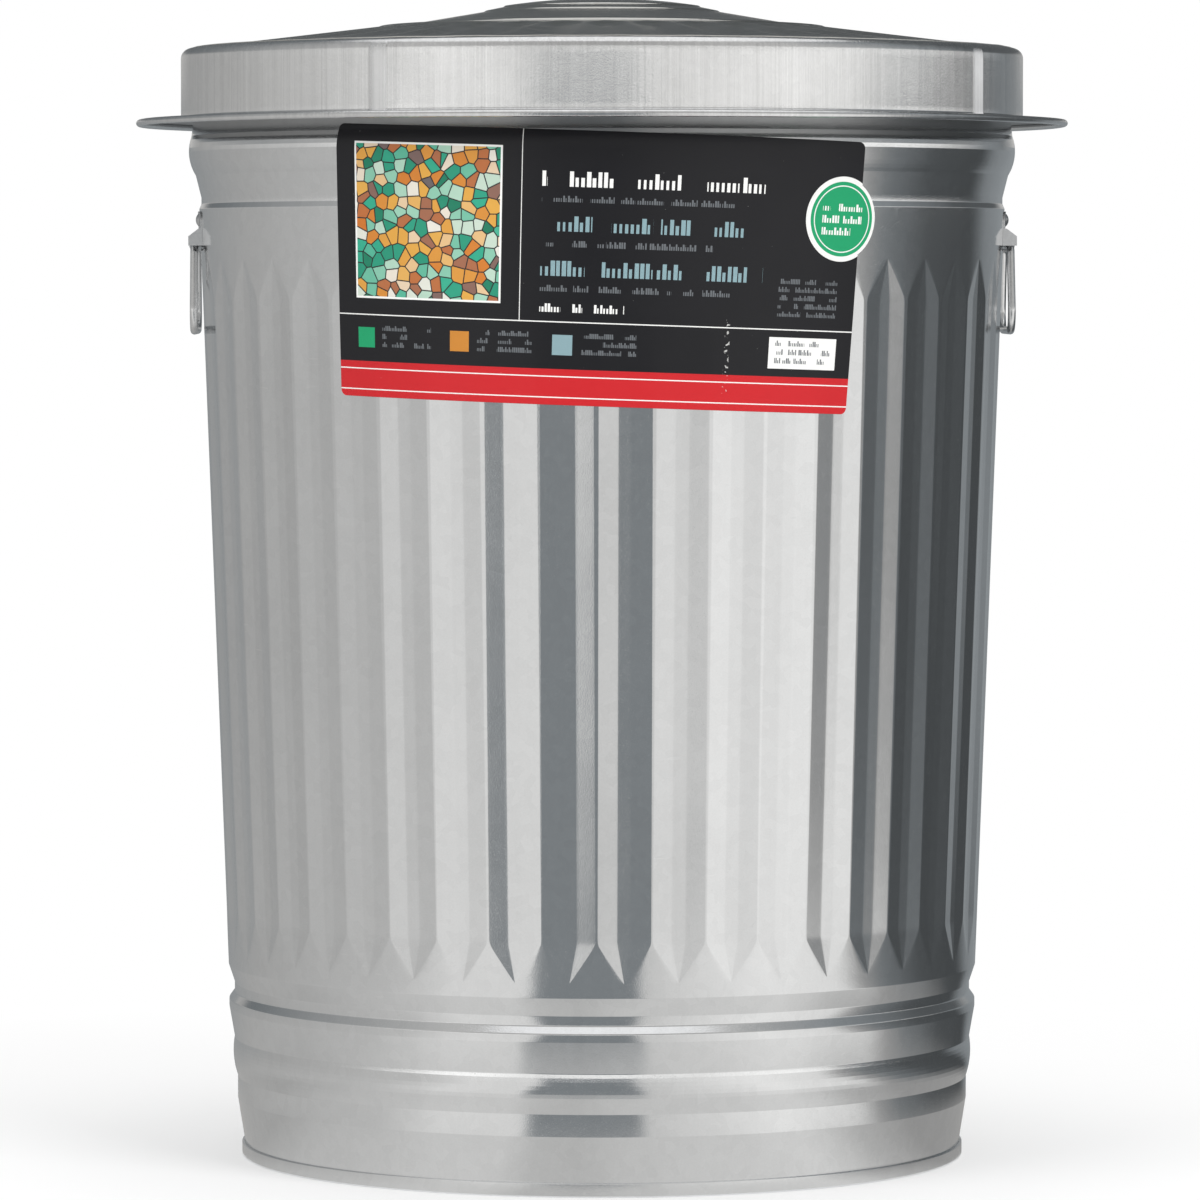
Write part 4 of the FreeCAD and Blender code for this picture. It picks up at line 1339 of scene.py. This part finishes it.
NEAR_MAT = CardBand((
    (-180, 0.40), (-85, 0.42), (-62, 0.55), (-45, 0.61), (-32, 0.68), (-20, 0.68), (-14, 0.56),
    (-6, 0.54), (2, 0.62), (10, 0.66), (27, 0.70), (40, 0.76), (48, 0.66), (55, 0.52), (74, 0.35),
    (100, 0.35), (180, 0.40),
))
LOW_CARDS = CardBand((
    (-180, 0.26), (-120, 0.42), (-60, 0.58), (-40, 0.80), (-20.5, 0.78), (-18, 0.25), (7.5, 0.25),
    (9.5, 0.66), (45, 0.95), (68, 0.84), (75, 0.37), (84, 0.20), (102, 0.09), (128, 0.07),
    (138, 0.24), (160, 0.30), (180, 0.27),
))
MIDDLE_CARDS = CardBand((
    (-180, 0.60), (-166, 0.52), (-150, 0.38), (-90, 0.63), (-72, 0.86), (-50, 1.24), (-38, 1.24),
    (-20, 0.98), (-4, 1.10), (6, 1.10), (30, 1.04), (52, 1.20), (72, 1.18), (84, 1.20), (97, 1.02),
    (112, 0.62), (130, 0.30), (145, 0.20), (166, 0.52), (180, 0.60),
))
HIGH_CARDS = CardBand((
    (-180, 0.12), (-140, 0.20), (-60, 0.55), (0, 0.42), (50, 0.55), (90, 0.30), (125, 0.10),
    (180, 0.12),
))


@dataclass
class Studio:
    """Pale floor, white surround, reflector cards, soft lamps and the camera."""

    distance: float = 4.32
    turn: float = -1.24
    eye: float = 0.540
    aim: float = 0.342
    aside: float = -0.0012
    lens: float = 210.0
    lamp_aim: Colour = (0.0, 0.0, 0.35)
    card_radius: float = 6.0
    card_height: float = 9.0
    low_top: float = 0.785
    middle_low: float = 0.815
    middle_top: float = 1.20
    high_low: float = 1.50
    near_radius: Tuple[float, float] = (0.36, 0.48)
    mat_radii: Tuple[float, float] = (224.0, 700.0)
    mat_height: float = 0.5
    floor_radii: Tuple[float, ...] = (1.0, 600.0, 2000.0, 30000.0)
    floor_height: float = -0.05
    floor_grey: float = 0.93
    floor_fade: Tuple[float, float] = (0.32, 0.9)
    floor_white: float = 0.35
    world_light: float = 0.55

    def make_cards(self) -> None:
        """Builds the cards that only the metal sees: a ring of walls and a mat on the floor."""
        ring, mat = SheetMesh(), SheetMesh()
        far, top = self.card_radius / MM, self.card_height / MM
        ring.lathe([(far, self.mat_height), (far, top)], 120, flip=True)
        mat.lathe([(radius, self.mat_height) for radius in (*self.mat_radii, far)], 120, flip=True)
        bands = self.make_bands()
        for piece, near in ((ring.make("studio_cards"), False), (mat.make("studio_mat"), True)):
            material, nodes, shader = new_material(piece.name + "_glow")
            nodes.tree.nodes.remove(shader)
            place = nodes.place()
            band = nodes.group(bands, Vector=place)
            if near:
                share = nodes.spread(nodes.length(place), *self.near_radius)
                colour = nodes.mix(share, band["Near"], band["Low"])
            else:
                height = nodes.split(place)[2]
                rise = nodes.spread(height, self.low_top, self.middle_low)
                high = nodes.spread(height, self.middle_top, self.high_low)
                colour = nodes.mix(high, nodes.mix(rise, band["Low"], band["Middle"]), band["High"])
            glow = nodes.add("Emission", {0: colour, 1: 1.0})
            nodes.feed(nodes.tree.nodes["Material Output"].inputs[0], glow.outputs[0])
            material.cycles.emission_sampling = "NONE"
            piece.data.materials.append(material)
            for ray in ("camera", "diffuse", "shadow", "transmission"):
                setattr(piece, "visible_" + ray, False)

    def make_bands(self) -> Tree:
        """Colours of the mat near the can and of the cards at three levels, by azimuth.

        Returns:
            Group with Near, Low, Middle and High.
        """
        bands = {"Near": NEAR_MAT, "Low": LOW_CARDS, "Middle": MIDDLE_CARDS, "High": HIGH_CARDS}
        nodes, start, end = new_group("studio_bands", {}, tuple(bands), "Color")
        x, y, _ = nodes.split(start["Vector"])
        turn = nodes.math("ARCTAN2", x, nodes.math("MULTIPLY", y, -1.0))
        share = nodes.math("ADD", nodes.math("DIVIDE", turn, TURN), 0.5)
        for level, cards in bands.items():
            nodes.feed(end[level], nodes.ramp(share, cards.ramp()))
        return nodes.tree

    def make_floor(self) -> None:
        """Builds the floor, which turns into the white surround away from the can."""
        mesh = SheetMesh()
        mesh.lathe([(radius, self.floor_height) for radius in self.floor_radii], 96, flip=True)
        floor = mesh.make("studio_floor")
        material, nodes, shader = new_material("studio_pale_floor")
        shader.inputs["Base Color"].default_value = (*[self.floor_grey] * 3, 1.0)
        shader.inputs["Roughness"].default_value = 1.0
        shader.inputs["Specular IOR Level"].default_value = 0.0
        fade = nodes.spread(nodes.length(nodes.place()), *self.floor_fade, first=self.floor_white)
        white = nodes.add("Emission", {0: WHITE, 1: 1.0})
        share = nodes.math("MULTIPLY", nodes.seen(), fade)
        both = nodes.add("MixShader", {0: share, 1: shader.outputs[0], 2: white.outputs[0]})
        nodes.feed(nodes.tree.nodes["Material Output"].inputs[0], both.outputs[0])
        floor.data.materials.append(material)

    def make_world(self) -> None:
        """Sets the white surround: full white where it is seen, softer as light."""
        world = bpy.data.worlds.new("studio_white")
        bpy.context.scene.world = world
        world.use_nodes = True
        nodes = Nodes(world.node_tree)
        back = world.node_tree.nodes["Background"]
        back.inputs[0].default_value = WHITE
        nodes.feed(back.inputs[1], nodes.plus(self.world_light, nodes.seen(), 1.0 - self.world_light))

    def make_lamp(self, name: str, place: Colour, size: float, power: float) -> None:
        """Adds a soft square lamp that points at the can.

        Args:
            name: Name of the lamp.
            place: Where it hangs, in metres.
            size: Length of its side.
            power: Watts.
        """
        data = bpy.data.lights.new(name, "AREA")
        data.size = size
        data.energy = power
        lamp = bpy.data.objects.new(name, data)
        lamp.location = place
        lamp.rotation_euler = direction_to_euler(np.subtract(self.lamp_aim, place))
        lamp.visible_glossy = False
        bpy.context.scene.collection.objects.link(lamp)

    def make_camera(self) -> None:
        """Sets the camera where the photograph was taken from."""
        turn = math.radians(self.turn)
        eye = np.array((self.distance * math.sin(turn), -self.distance * math.cos(turn), self.eye))
        data = bpy.data.cameras.new("photo_view")
        data.sensor_width = 36.0
        data.lens = self.lens
        data.clip_end = 100.0
        camera = bpy.data.objects.new("photo_view", data)
        camera.location = eye
        camera.rotation_euler = direction_to_euler(np.array((self.aside, 0.0, self.aim)) - eye)
        bpy.context.scene.collection.objects.link(camera)
        bpy.context.scene.camera = camera

    def build(self) -> None:
        """Builds the whole studio."""
        bpy.context.scene.view_settings.view_transform = "Standard"
        self.make_world()
        self.make_floor()
        self.make_cards()
        self.make_lamp("soft_key", (1.7, -2.3, 1.9), 1.6, 55.0)
        self.make_lamp("soft_fill", (-2.0, -1.8, 1.5), 1.8, 30.0)
        self.make_lamp("soft_top", (0.0, 0.3, 2.6), 1.6, 25.0)
        self.make_camera()
        log.info("studio ready")


def direction_to_euler(direction: np.ndarray) -> Tuple[float, float, float]:
    """Rotation in radians of a lamp or camera that looks along a direction, upright."""
    x, y, z = direction
    return (math.atan2(math.hypot(x, y), -z), 0.0, math.atan2(-x, y))


def main() -> None:
    """Builds and dresses every sub-assembly in order, then the studio."""
    logging.basicConfig(level=logging.INFO, format="%(name)s: %(message)s")
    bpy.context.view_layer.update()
    finishes = Finishes(Effects())
    can = Can()
    can.dress(finishes)
    Lid().dress(finishes)
    for side in Side:
        DropHandle(side).dress(finishes)
    Label(can).dress(finishes)
    Studio().build()
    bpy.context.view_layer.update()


if __name__ == "__main__":
    main()
